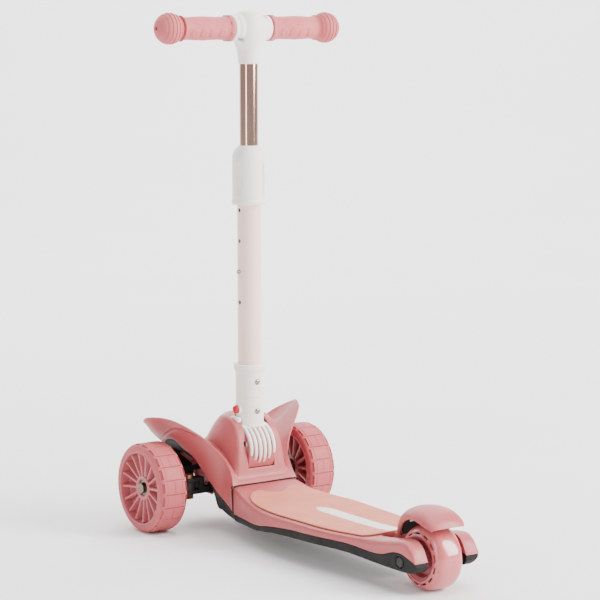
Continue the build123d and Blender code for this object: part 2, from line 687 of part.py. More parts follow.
def handle_peg(side):
    """Sprung peg that locks one bar in the T-piece."""
    out = PEGS[0][1] if side < 0 else PEGS[1][1]
    return peg_rod(side, out, 2.92, 5.5, 17.4)


def grip(side):
    """Soft grip with a flange at the head and a round ribbed knob at the end."""
    outline = [(GRIP_START, BAR_R), (GRIP_START, 19), (35.5, 19), (38, 15.6), (50, 14.6),
               (72, 15.4), (96, 14.6), (104, 14.8), (107, 17), (112, 19.4), (117, 20.5),
               (KNOB_X, KNOB_R), (130, 19.6), (136, 16.6), (140.5, 11), (GRIP_END, 5),
               (GRIP_END, 0), (118, 0), (118, BAR_R)]
    return turned_x(mirrored_x(outline, side), COLUMN_Y, BAR_Z)


# ---------------------------------------------------------------- all pieces
def pieces():
    nodes = {
        "deck_base": deck_base(), "deck_shell": deck_shell(), "deck_pad": deck_pad(),
        "deck_stripe": deck_stripe(), "deck_spine": deck_spine(), "deck_screws": deck_screws(),
        "seam_strip": seam_strip(), "hood": hood(), "hood_nose": hood_nose(),
        "hood_liner": hood_liner(), "fold_bracket": fold_bracket(), "fold_pin": fold_pin(),
        "detent_disc": detent_disc(), "steer_post": steer_post(), "lean_shaft": lean_shaft(),
        "lean_springs": lean_springs(), "axle_beam": axle_beam(), "kingpins": kingpins(),
        "kingpin_nuts": kingpin_nuts(), "tie_rod": tie_rod(), "rear_tyre": rear_tyre(),
        "rear_core": rear_core(), "rear_bearings": rear_bearings(), "rear_axle": rear_axle(),
        "rear_nut": rear_nut(), "rear_spacers": rear_spacers(), "rear_fender": rear_fender(),
        "brake_plate": brake_plate(), "brake_pin": brake_pin(), "brake_spring": brake_spring(),
        "column_base": column_base(), "base_screws": base_screws(), "hinge_comb": hinge_comb(),
        "fold_button": fold_button(), "button_spring": button_spring(),
        "latch_tongue": latch_tongue(), "lower_tube": lower_tube(), "collet": collet(),
        "clamp_collar": clamp_collar(), "upper_tube": upper_tube(),
        "snap_button": snap_button(), "snap_spring": snap_spring(), "t_head": t_head(),
        "handlebars": handlebars(),
    }
    for side, name in ((-1, "left"), (1, "right")):
        nodes["knuckle_" + name] = knuckle(side)
        nodes["axle_bolt_" + name] = axle_bolt(side)
        nodes["axle_spacer_" + name] = axle_spacer(side)
        nodes["front_tyre_" + name] = front_tyre(side)
        nodes["front_rim_" + name] = front_rim(side)
        nodes["front_bearings_" + name] = front_bearings(side)
        nodes["grip_" + name] = grip(side)
        nodes["handle_peg_" + name] = handle_peg(side)
    return nodes


def main():
    os.makedirs("parts", exist_ok=True)
    for name, shape in pieces().items():
        if isinstance(shape, list):
            shape = Compound(children=[Part() + item for item in shape])
        export_step(shape, "parts/" + name + ".step")


main()
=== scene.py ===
"""Looks of a child's folding three-wheeled kick scooter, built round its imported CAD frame.

Shapes are worked out in millimetres in the row frame (+X right, +Y forwards, +Z up);
add_piece() turns them into metres.
"""
import math

import bmesh
import bpy
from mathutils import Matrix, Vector


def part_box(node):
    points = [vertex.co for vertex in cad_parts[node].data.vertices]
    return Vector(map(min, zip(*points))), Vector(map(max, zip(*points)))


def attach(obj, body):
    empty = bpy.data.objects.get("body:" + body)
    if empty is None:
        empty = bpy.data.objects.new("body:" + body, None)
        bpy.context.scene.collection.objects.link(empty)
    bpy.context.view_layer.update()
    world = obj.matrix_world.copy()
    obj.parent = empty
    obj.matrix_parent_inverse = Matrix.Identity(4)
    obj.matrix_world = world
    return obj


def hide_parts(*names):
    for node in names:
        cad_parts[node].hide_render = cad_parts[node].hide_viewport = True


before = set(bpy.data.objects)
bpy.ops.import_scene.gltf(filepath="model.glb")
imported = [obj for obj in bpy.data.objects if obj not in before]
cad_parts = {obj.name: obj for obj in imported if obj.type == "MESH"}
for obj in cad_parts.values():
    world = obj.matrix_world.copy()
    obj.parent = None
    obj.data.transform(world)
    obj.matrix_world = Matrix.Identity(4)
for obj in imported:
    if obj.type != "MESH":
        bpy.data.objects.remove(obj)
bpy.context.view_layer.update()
MM = 0.001
SIDES = ((-1, "left"), (1, "right"))


# ---- places from the frame
def box_mm(node):
    low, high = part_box(node)
    return low / MM, high / MM


def middle(node):
    low, high = box_mm(node)
    return (low + high) / 2


def tyre_size(node):
    """Middle, radius and half width of a tyre."""
    low, high = box_mm(node)
    half = (high - low) / 2
    return middle(node), half.z, half.x


WHEEL, FRONT_R, FRONT_HALF = tyre_size("front_tyre_right")
REAR, REAR_R, REAR_HALF = tyre_size("rear_tyre")
COLUMN_Y = middle("lower_tube").y
FOLD_Z = middle("fold_pin").z
BASE_TOP = box_mm("column_base")[1].z
COLLAR_LOW, COLLAR_HIGH = box_mm("clamp_collar")
HEAD_LOW, HEAD_HIGH = box_mm("t_head")
BAR_Z = middle("handlebars").z
GRIP_LOW, GRIP_HIGH = box_mm("grip_right")
SEAM_Y = box_mm("seam_strip")[1].y - 0.35
SLOT_HALF = 29.5
SLOT_FRONT = -160.0
SCREW_HEIGHTS = (161.5, 201.0)
BUTTON_Z = 163.5
FOOT_R = 18.8
PIN_BORE = 5.2
CAMERA_TURN = math.radians(35.04)
CAMERA_TILT = math.radians(7.62)


# ---- materials
def linear(colour):
    """sRGB 0-255 to the linear colour that shaders take."""
    parts = [c / 255 for c in colour]
    return [p / 12.92 if p <= 0.04045 else ((p + 0.055) / 1.055) ** 2.4 for p in parts] + [1.0]


class Finish:
    """Builds one procedural material, node by node."""

    def __init__(self, name, rough, **sockets):
        self.material = bpy.data.materials.new(name)
        self.material.use_nodes = True
        self.tree = self.material.node_tree
        self.shader = self.tree.nodes["Principled BSDF"]
        self.shader.inputs["Roughness"].default_value = rough
        for socket, value in sockets.items():
            self.shader.inputs[socket.replace("_", " ")].default_value = value
        self.place = self.tree.nodes.new("ShaderNodeTexCoord").outputs["Object"]

    def node(self, kind, **inputs):
        made = self.tree.nodes.new(kind)
        for name, value in inputs.items():
            made.inputs[name.replace("_", " ")].default_value = value
        return made

    def link(self, output, target):
        self.tree.links.new(output, target)

    def noise(self, scale, detail=3.0, stretch=(1, 1, 1), rough=0.55):
        """Noise over the object, with scale in cells per metre."""
        mapping = self.node("ShaderNodeMapping")
        mapping.inputs["Scale"].default_value = stretch
        self.link(self.place, mapping.inputs["Vector"])
        noise = self.node("ShaderNodeTexNoise", Scale=scale, Detail=detail, Roughness=rough)
        self.link(mapping.outputs["Vector"], noise.inputs["Vector"])
        return noise.outputs["Fac"]

    def cells(self, scale):
        """Distance to the nearest of many scattered points, in cells per metre."""
        cells = self.node("ShaderNodeTexVoronoi", Scale=scale)
        self.link(self.place, cells.inputs["Vector"])
        return cells.outputs["Distance"]

    def ramp(self, factor, low, high, from_value, to_value):
        ramp = self.node("ShaderNodeMapRange", From_Min=low, From_Max=high,
                         To_Min=from_value, To_Max=to_value)
        self.link(factor, ramp.inputs["Value"])
        return ramp.outputs["Result"]

    def mix(self, factor, first, second):
        """Colour between two, each a colour or another node's output."""
        mix = self.tree.nodes.new("ShaderNodeMix")
        mix.data_type = "RGBA"
        self.link(factor, mix.inputs["Factor"])
        for colour, socket in ((first, mix.inputs[6]), (second, mix.inputs[7])):
            if isinstance(colour, list):
                socket.default_value = colour
            else:
                self.link(colour, socket)
        return mix.outputs[2]

    def colour(self, first, second, scale=28, worn=None, wear=0.5):
        """Cloudy colour between two tones, lighter along worn edges."""
        cloud = self.ramp(self.noise(scale), 0.3, 0.7, 0.0, 1.0)
        shade = self.mix(cloud, linear(first), linear(second))
        if worn:
            edges = self.tree.nodes.new("ShaderNodeNewGeometry").outputs["Pointiness"]
            rubbed = self.ramp(edges, 0.53, 0.62, 0.0, wear)
            shade = self.mix(rubbed, shade, linear(worn))
        self.link(shade, self.shader.inputs["Base Color"])
        return self

    def grain(self, scale, depth, stretch=(1, 1, 1), cells=False):
        """Moulded or brushed surface as a bump, depth in millimetres."""
        bump = self.node("ShaderNodeBump", Strength=0.6, Distance=depth * MM)
        height = self.cells(scale) if cells else self.noise(scale, 4.0, stretch)
        self.link(height, bump.inputs["Height"])
        if self.shader.inputs["Normal"].links:
            self.link(self.shader.inputs["Normal"].links[0].from_socket, bump.inputs["Normal"])
        self.link(bump.outputs["Normal"], self.shader.inputs["Normal"])
        return self

    def patchy(self, low, high, scale=60, stretch=(1, 1, 1)):
        """Roughness that changes from place to place, as handled plastic has."""
        self.link(self.ramp(self.noise(scale, 5.0, stretch), 0.3, 0.7, low, high),
                  self.shader.inputs["Roughness"])
        return self


def plastic(name, first, second, worn, low=0.38, high=0.5, **sockets):
    """Satin moulded plastic with a fine spark-eroded grain."""
    finish = Finish(name, 0.45, **sockets)
    finish.colour(first, second, worn=worn, wear=0.45).patchy(low, high)
    return finish.grain(1500, 0.05).grain(90, 0.12).material


def metal(name, first, second, rough, stretch, depth=0.02, scale=900):
    """Metal with drawing marks along its length."""
    finish = Finish(name, rough, Metallic=1.0)
    finish.colour(first, second, scale=18).patchy(rough * 0.75, rough * 1.35, 300, stretch)
    return finish.grain(scale, depth, stretch).material


def rubber(name, first, second, worn, scale=1100, depth=0.08):
    finish = Finish(name, 0.62)
    finish.colour(first, second, scale=35, worn=worn, wear=0.35).patchy(0.55, 0.72)
    return finish.grain(scale, depth).material


def foot_pad_rubber():
    """Peach anti-slip rubber, with small raised dots under a fine grain."""
    finish = Finish("pad_rubber", 0.7)
    finish.colour((208, 121, 96), (200, 112, 88), scale=22, worn=(224, 168, 150), wear=0.3)
    return finish.patchy(0.62, 0.8, 40).grain(620, 0.12, cells=True).grain(2200, 0.04).material


def milky(name, first, second, rough, **sockets):
    """Translucent cast plastic with a clear surface."""
    finish = Finish(name, rough, **sockets)
    return finish.colour(first, second, scale=22).patchy(rough * 0.8, rough * 1.5, 40).grain(
        260, 0.03).material


def make_materials():
    along = (1, 1, 0.02)
    return {
        "pink": plastic("pink_shell", (179, 84, 86), (172, 78, 80), (200, 115, 116)),
        "wheel": rubber("wheel_rubber", (184, 87, 90), (176, 79, 83), (205, 115, 117)),
        "rim": plastic("rim_plastic", (178, 88, 93), (168, 80, 86), (202, 120, 123)),
        "grip": rubber("grip_rubber", (200, 101, 104), (192, 94, 97), (214, 129, 130), 1400),
        "black": plastic("black_plastic", (22, 20, 20), (17, 16, 15), (46, 43, 41), 0.5, 0.66,
                         Specular_IOR_Level=0.25),
        "truck": plastic("truck_black", (24, 22, 22), (17, 16, 16), (46, 43, 41), 0.45, 0.6,
                         Specular_IOR_Level=0.35),
        "white": plastic("white_plastic", (247, 243, 238), (241, 237, 231), (252, 250, 247)),
        "pad": foot_pad_rubber(),
        "stripe": milky("clear_stripe", (216, 206, 195), (206, 195, 184), 0.22,
                        Coat_Weight=0.5, Coat_Roughness=0.1),
        "rear": milky("cast_urethane", (199, 96, 99), (190, 88, 92), 0.28,
                      Coat_Weight=0.7, Coat_Roughness=0.06, Subsurface_Weight=0.25,
                      Subsurface_Scale=0.008),
        "red": plastic("red_button", (190, 6, 34), (176, 4, 28), (215, 50, 72), 0.2, 0.3),
        "dark_steel": metal("bearing_steel", (126, 114, 102), (98, 88, 78), 0.3, (1, 1, 1), 0.02,
                            600),
        "steel": metal("plain_steel", (176, 172, 168), (150, 146, 142), 0.34, (1, 1, 1), 0.03, 260),
        "zinc": metal("zinc_screw", (176, 173, 168), (146, 142, 137), 0.24, (1, 1, 1), 0.02, 700),
        "brass": metal("yellow_zinc", (150, 118, 88), (120, 94, 70), 0.32, (1, 1, 1), 0.03, 500),
        "tube": coated_tube(),
        "chrome": metal("rose_chrome", (224, 184, 168), (214, 171, 154), 0.09, along, 0.004, 700),
        "bar": metal("bar_steel", (186, 184, 182), (168, 166, 164), 0.3, (0.02, 1, 1)),
    }


def coated_tube():
    """Pale pink powder coat over the steel tube."""
    finish = Finish("tube_paint", 0.36, Coat_Weight=0.25, Coat_Roughness=0.2)
    finish.colour((252, 219, 206), (248, 212, 199), scale=12)
    return finish.patchy(0.3, 0.45, 50, (1, 1, 0.2)).grain(700, 0.04).material


M = make_materials()


# ---- shape helpers
def spline(points, per=6):
    """Smooth curve through all points, per steps for each; a repeated point is a corner."""
    curve = []
    for i in range(len(points) - 1):
        b, c = Vector(points[i]), Vector(points[i + 1])
        a = Vector(points[max(i - 1, 0)])
        d = Vector(points[min(i + 2, len(points) - 1)])
        for k in range(per):
            t = k / per
            curve.append((2 * b + (c - a) * t + (2 * a - 5 * b + 4 * c - d) * t * t
                          + (3 * b - a - 3 * c + d) * t ** 3) / 2)
    return curve + [Vector(points[-1])]


def surface(ribs, along=5, across=4):
    """Grid of points through the ribs, which all have the same number of points."""
    rows = [spline(rib, along) for rib in ribs]
    columns = [spline(column, across) for column in zip(*rows)]
    return list(zip(*columns))


def mirrored(half):
    """Rib from its left end to its right one, from the half on the right side."""
    return [(-x, y, z) for x, y, z in reversed(half[1:])] + list(half)


def add_grid(mesh, rows, close_across=False, close_along=False):
    """Adds rows of points to a bmesh as quads."""
    verts = [[mesh.verts.new(point) for point in row] for row in rows]
    last_row = len(rows) if close_across else len(rows) - 1
    last_column = len(rows[0]) if close_along else len(rows[0]) - 1
    for i in range(last_row):
        upper, lower = verts[i], verts[(i + 1) % len(rows)]
        for j in range(last_column):
            k = (j + 1) % len(upper)
            mesh.faces.new((upper[j], upper[k], lower[k], lower[j]))
    return verts


def grid_mesh(rows, **closed):
    mesh = bmesh.new()
    add_grid(mesh, rows, **closed)
    return mesh


def ring_mesh(rows):
    """Closed body like a tyre: the rows join up, and so does each row."""
    return grid_mesh(rows, close_across=True, close_along=True)


def capped(rows):
    """Closed body from rings, with a flat end on the first and on the last."""
    mesh = bmesh.new()
    verts = add_grid(mesh, rows, close_along=True)
    for ring in (verts[0], verts[-1]):
        mesh.faces.new(ring)
    return mesh


def on_side(side, points):
    return [(side * p.x, p.y, p.z) for p in points]


def about_x(points, turn, y, z, x=0.0, side=1):
    """(along, radius) points turned about a line along X; turn is from +Y towards +Z."""
    return [(x + side * a, y + r * math.cos(turn), z + r * math.sin(turn)) for a, r in points]


def about_z(points, turn):
    """(height, radius) points turned about the column's middle line."""
    return [(r * math.cos(turn), COLUMN_Y + r * math.sin(turn), a) for a, r in points]


def turns(count, start=0.0, end=360.0):
    """Angles in radians; a full turn leaves out the last, which is the first again."""
    last = count if end - start >= 360 else count - 1
    return [math.radians(start + (end - start) * i / last) for i in range(count)]


def lathe_x(profile, y, z, x=0.0, side=1, count=96):
    rows = [about_x(profile, t, y, z, x, side) for t in turns(count)]
    return grid_mesh(rows, close_across=True)


def lathe_z(profile, count=96):
    return grid_mesh([about_z(profile, t) for t in turns(count)], close_across=True)


def prism(outline, place, depth):
    """Closed solid: a flat outline put in space by place(u, v, w), w from 0 to depth."""
    mesh = bmesh.new()
    rings = [[mesh.verts.new(place(u, v, w)) for u, v in outline] for w in (0, depth)]
    for i in range(len(outline)):
        j = (i + 1) % len(outline)
        mesh.faces.new((rings[0][i], rings[0][j], rings[1][j], rings[1][i]))
    mesh.faces.new(rings[0][::-1])
    mesh.faces.new(rings[1])
    return mesh


def plate(outline, low, depth):
    """Closed solid over an (x, y) outline."""
    return prism(outline, lambda u, v, w: (u, v, low + w), depth)


def box_mesh(x0, x1, y0, y1, z0, z1):
    return plate(((x0, y0), (x1, y0), (x1, y1), (x0, y1)), z0, z1 - z0)


def pair_of_boxes(near, far, *rest):
    """The same box on the left and on the right, from near to far off the middle."""
    return [box_mesh(*sorted((side * near, side * far)), *rest) for side, _ in SIDES]


def rounded(x0, x1, y0, y1, radius, steps=5):
    """Outline of a rectangle with round corners."""
    outline = []
    for cx, cy, start in ((x1, y1, 0), (x0, y1, 90), (x0, y0, 180), (x1, y0, 270)):
        mx = cx - radius if cx == x1 else cx + radius
        my = cy - radius if cy == y1 else cy + radius
        for i in range(steps + 1):
            t = math.radians(start + 90 * i / steps)
            outline.append((mx + radius * math.cos(t), my + radius * math.sin(t)))
    return outline


def joined(*meshes):
    """One bmesh from several; the others are freed."""
    whole = bmesh.new()
    for part in meshes:
        copy = bpy.data.meshes.new("part")
        part.to_mesh(copy)
        part.free()
        whole.from_mesh(copy)
        bpy.data.meshes.remove(copy)
    return whole


def loose_object(name, mesh, recalculate=True):
    bmesh.ops.remove_doubles(mesh, verts=mesh.verts, dist=0.01)
    bmesh.ops.dissolve_degenerate(mesh, edges=mesh.edges, dist=0.005)
    if recalculate:
        bmesh.ops.recalc_face_normals(mesh, faces=mesh.faces)
    bmesh.ops.scale(mesh, vec=(MM, MM, MM), verts=mesh.verts)
    data = bpy.data.meshes.new(name)
    mesh.to_mesh(data)
    mesh.free()
    made = bpy.data.objects.new(name, data)
    bpy.context.scene.collection.objects.link(made)
    return made


def add_modifier(target, kind, **settings):
    modifier = target.modifiers.new(kind.lower(), kind)
    for name, value in settings.items():
        setattr(modifier, name, value)
    return modifier


def settle(target):
    """Applies the modifiers to the mesh."""
    bpy.context.view_layer.update()
    graph = bpy.context.evaluated_depsgraph_get()
    data = bpy.data.meshes.new_from_object(target.evaluated_get(graph))
    target.modifiers.clear()
    target.data = data
    target.data.name = target.name


def add_piece(name, mesh, material, body="frame", stands_for=None, skin=0.0, cuts=(),
              joins=(), remesh=0.0, melt=0, edge=0.0, sharp=38):
    """Makes a piece of the scooter from a bmesh.

    A piece with _mesh in its name takes the place of the CAD node of the same name.
    skin thickens an open sheet, cuts and joins are other solids, remesh and melt blend
    joined solids into one flowing form, edge rounds its corners.
    """
    made = loose_object(name, mesh)
    made.data.materials.append(M[material])
    tools = []
    if skin:
        add_modifier(made, "SOLIDIFY", thickness=skin * MM, offset=0)
    for kind, solids in (("UNION", joins), ("DIFFERENCE", cuts)):
        for solid in solids:
            tool = loose_object("tool", solid)
            add_modifier(made, "BOOLEAN", operation=kind, object=tool, solver="EXACT")
            tools.append(tool)
        if kind == "UNION" and remesh:
            add_modifier(made, "REMESH", mode="VOXEL", voxel_size=remesh * MM)
            add_modifier(made, "SMOOTH", factor=0.5, iterations=melt)
    if edge:
        add_modifier(made, "BEVEL", width=edge * MM, segments=3, limit_method="ANGLE",
                     angle_limit=math.radians(34))
    settle(made)
    for tool in tools:
        bpy.data.objects.remove(tool)
    made.data.shade_smooth()
    made.data.set_sharp_from_angle(angle=math.radians(sharp))
    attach(made, body)
    if "_mesh" in name:
        stands_for = name.replace("_mesh", "")
    if stands_for:
        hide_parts(stands_for)
    return made


def bump_at(value, centre, half, soft=0.25):
    """1 inside a band about the centre, 0 outside, with a short slope."""
    away = abs(value - centre)
    if away <= half - soft:
        return 1.0
    return max(0.0, (half - away) / soft) if away < half else 0.0


# ---- wheels
BLOCKS = 20
RIBS = 16


def front_tread(x, share, block):
    """Depth of the tread pattern at a place across the tyre and along one block."""
    depth = 1.5 * bump_at(x, 0, 15.4, 0.5) * max(bump_at(share, 0, 0.036, 0.014),
                                                  bump_at(share, 1, 0.036, 0.014))
    depth += 2.0 * bump_at(abs(x), 17.0, 1.5, 0.3) * bump_at(share, 0.5, 0.36, 0.03)
    depth += 0.45 * bump_at(abs(x), 11.6, 0.5, 0.2) * bump_at(share, 0.5, 0.42, 0.02)
    if block % 2:
        depth += 0.45 * bump_at(x, 0, 0.5, 0.2) * bump_at(share, 0.5, 0.42, 0.02)
    return depth


def tyre_profile(half, radius, shoulder, bore, stops):
    """(across, radius) points over the tyre, with the crown's own stops between the shoulders."""
    arc = [math.radians(15 * i) for i in range(6)]
    left = [(-half + shoulder * (1 - math.cos(a)), radius - shoulder * (1 - math.sin(a)))
            for a in arc]
    crown = [(x, radius) for x in stops if abs(x) < half - shoulder]
    right = [(-x, r) for x, r in reversed(left)]
    return [(-half, bore)] + left + crown + right + [(half, bore)]


def resampled(profile, stops):
    """The profile with more points at the given places across."""
    points = list(profile)
    for x in stops:
        for i in range(len(points) - 1):
            (a, r), (b, s) = points[i], points[i + 1]
            if a < x - 0.02 and x + 0.02 < b:
                points.insert(i + 1, (x, r + (s - r) * (x - a) / (b - a)))
                break
    return points


def front_tyre(side, name):
    stops = [s * v for v in (0.2, 0.5, 5, 10, 11.1, 11.4, 11.8, 12.1, 14.9, 15.4, 15.6, 15.9, 18.1,
                             18.5) for s in (-1, 1)] + [0]
    profile = tyre_profile(FRONT_HALF, FRONT_R, 7.5, 50.2, sorted(stops))
    profile = resampled(profile, stops)
    shares = (0, 0.022, 0.036, 0.08, 0.1, 0.14, 0.17, 0.3, 0.45, 0.6, 0.83, 0.86, 0.9, 0.92,
              0.964, 0.978)
    rows = []
    for block in range(BLOCKS):
        for share in shares:
            turn = math.radians((block + share) * 360 / BLOCKS)
            ring = [(x, r - front_tread(x, share, block)) for x, r in profile]
            rows.append(about_x(ring, turn, WHEEL.y, WHEEL.z, side * WHEEL.x, side))
    add_piece("front_tyre_mesh_" + name, ring_mesh(rows), "wheel", "front_wheel_" + name,
              sharp=30)


def front_rim(side, name):
    """Dished rim with sixteen fins on both faces and a hub ring round each bearing."""
    lip, disc, hub, seat = 21.3, 7.5, 15.4, 11.05
    outer = [(0, 50.3), (18, 50.3), (lip - 0.6, 50.1), (lip, 49.4), (lip, 48.3),
             (lip - 0.8, 47.4), (15, 46.4), (disc + 1.5, 45.4), (disc, 43.5), (disc, 20),
             (disc + 1.5, 18), (hub - 1, 17), (hub, 16), (hub, 12.2), (hub - 1, seat),
             (6, seat), (6, 8.1), (0, 8.1)]
    inner = [(-x, r) for x, r in reversed(outer)]
    cx = side * WHEEL.x
    profile = outer[1:] + inner[:-1]
    parts = [ring_mesh([about_x(profile, t, WHEEL.y, WHEEL.z, cx, side) for t in turns(96)])]
    for face in (-1, 1):
        for i in range(RIBS):
            turn = math.radians(360 * (i + 0.25 * face) / RIBS)
            parts.append(fin(cx, face, turn, disc - 1, hub, lip))
    add_piece("front_rim_mesh_" + name, joined(*parts), "rim", "front_wheel_" + name, sharp=32)


def fin(cx, face, turn, low, hub, lip):
    """One spoke fin, wider at its root, with a rounded back."""
    out = Vector((0, math.cos(turn), math.sin(turn)))
    across = Vector((0, -math.sin(turn), math.cos(turn)))
    origin = Vector((cx, WHEEL.y, WHEEL.z))
    rows = []
    for radius, top in ((15.5, hub - 1.2), (22, hub - 0.2), (30, hub + 0.8), (38, lip - 4.2),
                        (43, lip - 3.2), (46, lip - 2.4)):
        rows.append([origin + out * radius + across * wide + Vector((face * high, 0, 0))
                     for wide, high in ((-2.5, low), (-1.8, top - 1.0), (-1.1, top), (1.1, top),
                                        (1.8, top - 1.0), (2.5, low))])
    return capped(rows)


def rear_tyre():
    """Smooth cast tyre with a ring of window dents in each shoulder; a black band under them is
    painted shade inside the windows.
    """
    shoulder, windows = 12.0, 13
    arc = [0, 8, 10, 11.5, 16, 20.5, 22, 30, 45, 60, 75, 90]
    left = [(math.radians(a), -REAR_HALF + shoulder * (1 - math.cos(math.radians(a))),
             REAR_R - shoulder * (1 - math.sin(math.radians(a)))) for a in arc]
    rows = []
    for block in range(windows):
        for share in (0, 0.1, 0.19, 0.22, 0.36, 0.5, 0.64, 0.78, 0.81, 0.9):
            deep = 2.8 * bump_at(share, 0.5, 0.31, 0.03)
            side = []
            for a, x, r in left:
                push = deep * bump_at(math.degrees(a), 16, 6, 1.5)
                side.append((x + push * math.cos(a), r - push * math.sin(a)))
            crown = [(x, REAR_R + 0.25) for x in (-6, 0, 6)]
            ring = [(-REAR_HALF, 27.2)] + side + crown
            ring += [(-x, r) for x, r in reversed(side)] + [(REAR_HALF, 27.2)]
            rows.append(about_x(ring, math.radians((block + share) * 360 / windows + 16),
                                REAR.y, REAR.z))
    add_piece("rear_tyre_mesh", ring_mesh(rows), "rear", "rear_wheel", sharp=50)
    # Black band just under the window dents: painted shade, so the shallow dents read as dark
    # holes.
    x, r = REAR_HALF - 2.3, REAR_R - 8.6
    band = [(x - 2.0, r - 2.2), (x, r - 2.2), (x, r + 2.2), (x - 2.0, r + 2.2)]
    rings = [ring_mesh([about_x(band, t, REAR.y, REAR.z, side=face) for t in turns(72)])
             for face in (-1, 1)]
    add_piece("rear_tyre_window_shade", joined(*rings), "black", "rear_wheel")


# ---- deck
# (y, half width) of the deck's edge; (y, z) of its top, colour split and foot
DECK_EDGE = [(132, 51.5), (120, 53), (91, 58.5), (54, 66.5), (14, 70.3), (-33, 67.8), (-80, 65.3),
             (-130, 57.6), (-176, 53), (-232, 51), (-258, 49.5)]
DECK_TOP = [(132, 67), (120, 64.5), (92, 57.5), (66, 54.6), (30, 54), (-96, 54), (-128, 55),
            (-172, 58), (-200, 61.5), (-228, 66), (-240, 65), (-250, 57), (-257.5, 43)]
DECK_SPLIT = [(132, 30.5), (80, 31), (50, 33), (22, 38), (-18, 42), (-48, 43), (-130, 45),
              (-172, 42.5), (-194, 43.5), (-214, 50), (-230, 51.5), (-243, 48), (-257.5, 43)]
DECK_FOOT = [(132, 19), (106, 19.5), (68, 22), (14, 29), (-26, 30), (-116, 31.5), (-176, 28),
             (-216, 27), (-240, 27.5), (-250, 29.8), (-255, 33), (-257.6, 37)]
STATIONS = [132, 129, 124, 116, 106, 92, 78, 62, 46, 28, 10, -10, -30, -50, -70, -90, -110, -128,
            -146, -160, -172, -184, -196, -206, -216, -226, -234, -240, -245, -250, -254, -257.4]


def value_at(curve, y):
    """Smooth value of a (y, value) list that runs from the front to the rear."""
    for i in range(len(curve) - 1):
        (y1, b), (y2, c) = curve[i], curve[i + 1]
        if y2 <= y <= y1:
            y0, a = curve[max(i - 1, 0)]
            y3, d = curve[min(i + 2, len(curve) - 1)]
            t = (y1 - y) / (y1 - y2)
            m1 = (c - a) / max(y0 - y2, 1e-6) * (y1 - y2)
            m2 = (d - b) / max(y1 - y3, 1e-6) * (y1 - y2)
            return ((2 * t ** 3 - 3 * t * t + 1) * b + (t ** 3 - 2 * t * t + t) * m1
                    + (3 * t * t - 2 * t ** 3) * c + (t ** 3 - t * t) * m2)
    return curve[0][1] if y > curve[0][0] else curve[-1][1]


def top_section(y):
    """Right half of the pink shell's section, from the middle to the split line."""
    half, top = value_at(DECK_EDGE, y), value_at(DECK_TOP, y)
    low = value_at(DECK_SPLIT, y)
    drop = min(1.0, (top - low) / 14)
    return [(0, y, top), (half * 0.5, y, top), (half - 7.5, y, top - 0.1),
            (half - 3.2, y, top - 0.7 * drop), (half - 1.2, y, top - 2.4 * drop),
            (half - 0.4, y, top - 5 * drop), (half, y, top - 8 * drop),
            (half - 0.3, y, low + (top - low) * 0.2), (half - 0.8, y, low)]


def base_section(y):
    """Right half of the black tray's section, from the split line to the keel."""
    half, high = value_at(DECK_EDGE, y), value_at(DECK_SPLIT, y)
    low = value_at(DECK_FOOT, y)
    round_off = min(4.5, (high - low) * 0.4)
    return [(0, y, high - 0.3), (half - 3, y, high - 0.3), (half - 1.6, y, high - 0.3),
            (half - 1.4, y, high - 1.5), (half - 1.9, y, low + round_off),
            (half - 2.4 - round_off * 0.35, y, low + round_off * 0.3),
            (half - 3.5 - round_off, y, low), (half * 0.4, y, low), (0, y, low)]


def closed_section(half):
    """Whole closed ring from the right half of a section."""
    return half + [(-x, y, z) for x, y, z in reversed(half) if x > 0.01]


def slot_cut():
    """Room for the rear wheel between the fork arms."""
    return plate(rounded(-SLOT_HALF, SLOT_HALF, -320, SLOT_FRONT, 7), 0, 120)


def deck():
    rows = [closed_section(top_section(y) + [(0, y, value_at(DECK_SPLIT, y))]) for y in STATIONS]
    add_piece("deck_shell_mesh", capped(rows), "pink", cuts=[slot_cut()], edge=1.3)
    rows = [closed_section(base_section(y)) for y in STATIONS]
    bores = [lathe_x([(a, 0), (a, 7.8), (b, 7.8), (b, 0)], REAR.y, REAR.z, count=40)
             for a, b in ((-60, -44.6), (44.6, 60))]
    ribs = [underside_pocket(y0, y1) for y0, y1 in ((-135, -102), (-96, -63), (-57, -24),
                                                   (-18, 15), (21, 54), (60, 93))]
    add_piece("deck_base_mesh", capped(rows), "black", cuts=[slot_cut()] + bores + ribs, edge=0.9)


def underside_pocket(y0, y1):
    """Hollow between two cross ribs under the deck, 3 mm deep."""
    foot = value_at(DECK_FOOT, (y0 + y1) / 2)
    return plate(rounded(-34, 34, y0, y1, 4, 3), foot - 6, 8.5)


def pad_front(share):
    """Front edge of the pad: a dip in the middle and a lobe each side."""
    wave = [(0, 98), (0.12, 98.5), (0.28, 103), (0.44, 108.5), (0.6, 110), (0.76, 107),
            (0.9, 99), (1.0, 86)]
    return blended(wave, abs(share))


def pad_rear(share):
    """Rear edge of the pad, drawn in a little at both corners."""
    wave = [(0, -158.5), (0.38, -158.5), (0.46, -158.8), (0.56, -159), (0.68, -159),
            (0.84, -158), (1.0, -152)]
    return blended(wave, abs(share))


def blended(table, x):
    """Value of a short table at x, smooth between its rows."""
    for (a, low), (b, high) in zip(table, table[1:]):
        if x <= b:
            t = (x - a) / (b - a)
            return low + (high - low) * t * t * (3 - 2 * t)
    return table[-1][1]


def pad():
    """Anti-slip pad, crowned at its edge, lying on the deck."""
    thick, margin, lanes, steps = 1.7, 6.2, 56, 90
    rows = []
    for i in range(steps + 1):
        v, row = i / steps, []
        for j in range(lanes + 1):
            u = 2 * j / lanes - 1
            y = pad_front(u) + (pad_rear(u) - pad_front(u)) * v
            x = u * (value_at(DECK_EDGE, y) - margin)
            row.append((x, y, value_at(DECK_TOP, y) + thick - 0.3))
        rows.append(row)
    add_piece("deck_pad_mesh", grid_mesh(rows), "pad", skin=thick, edge=0.6)


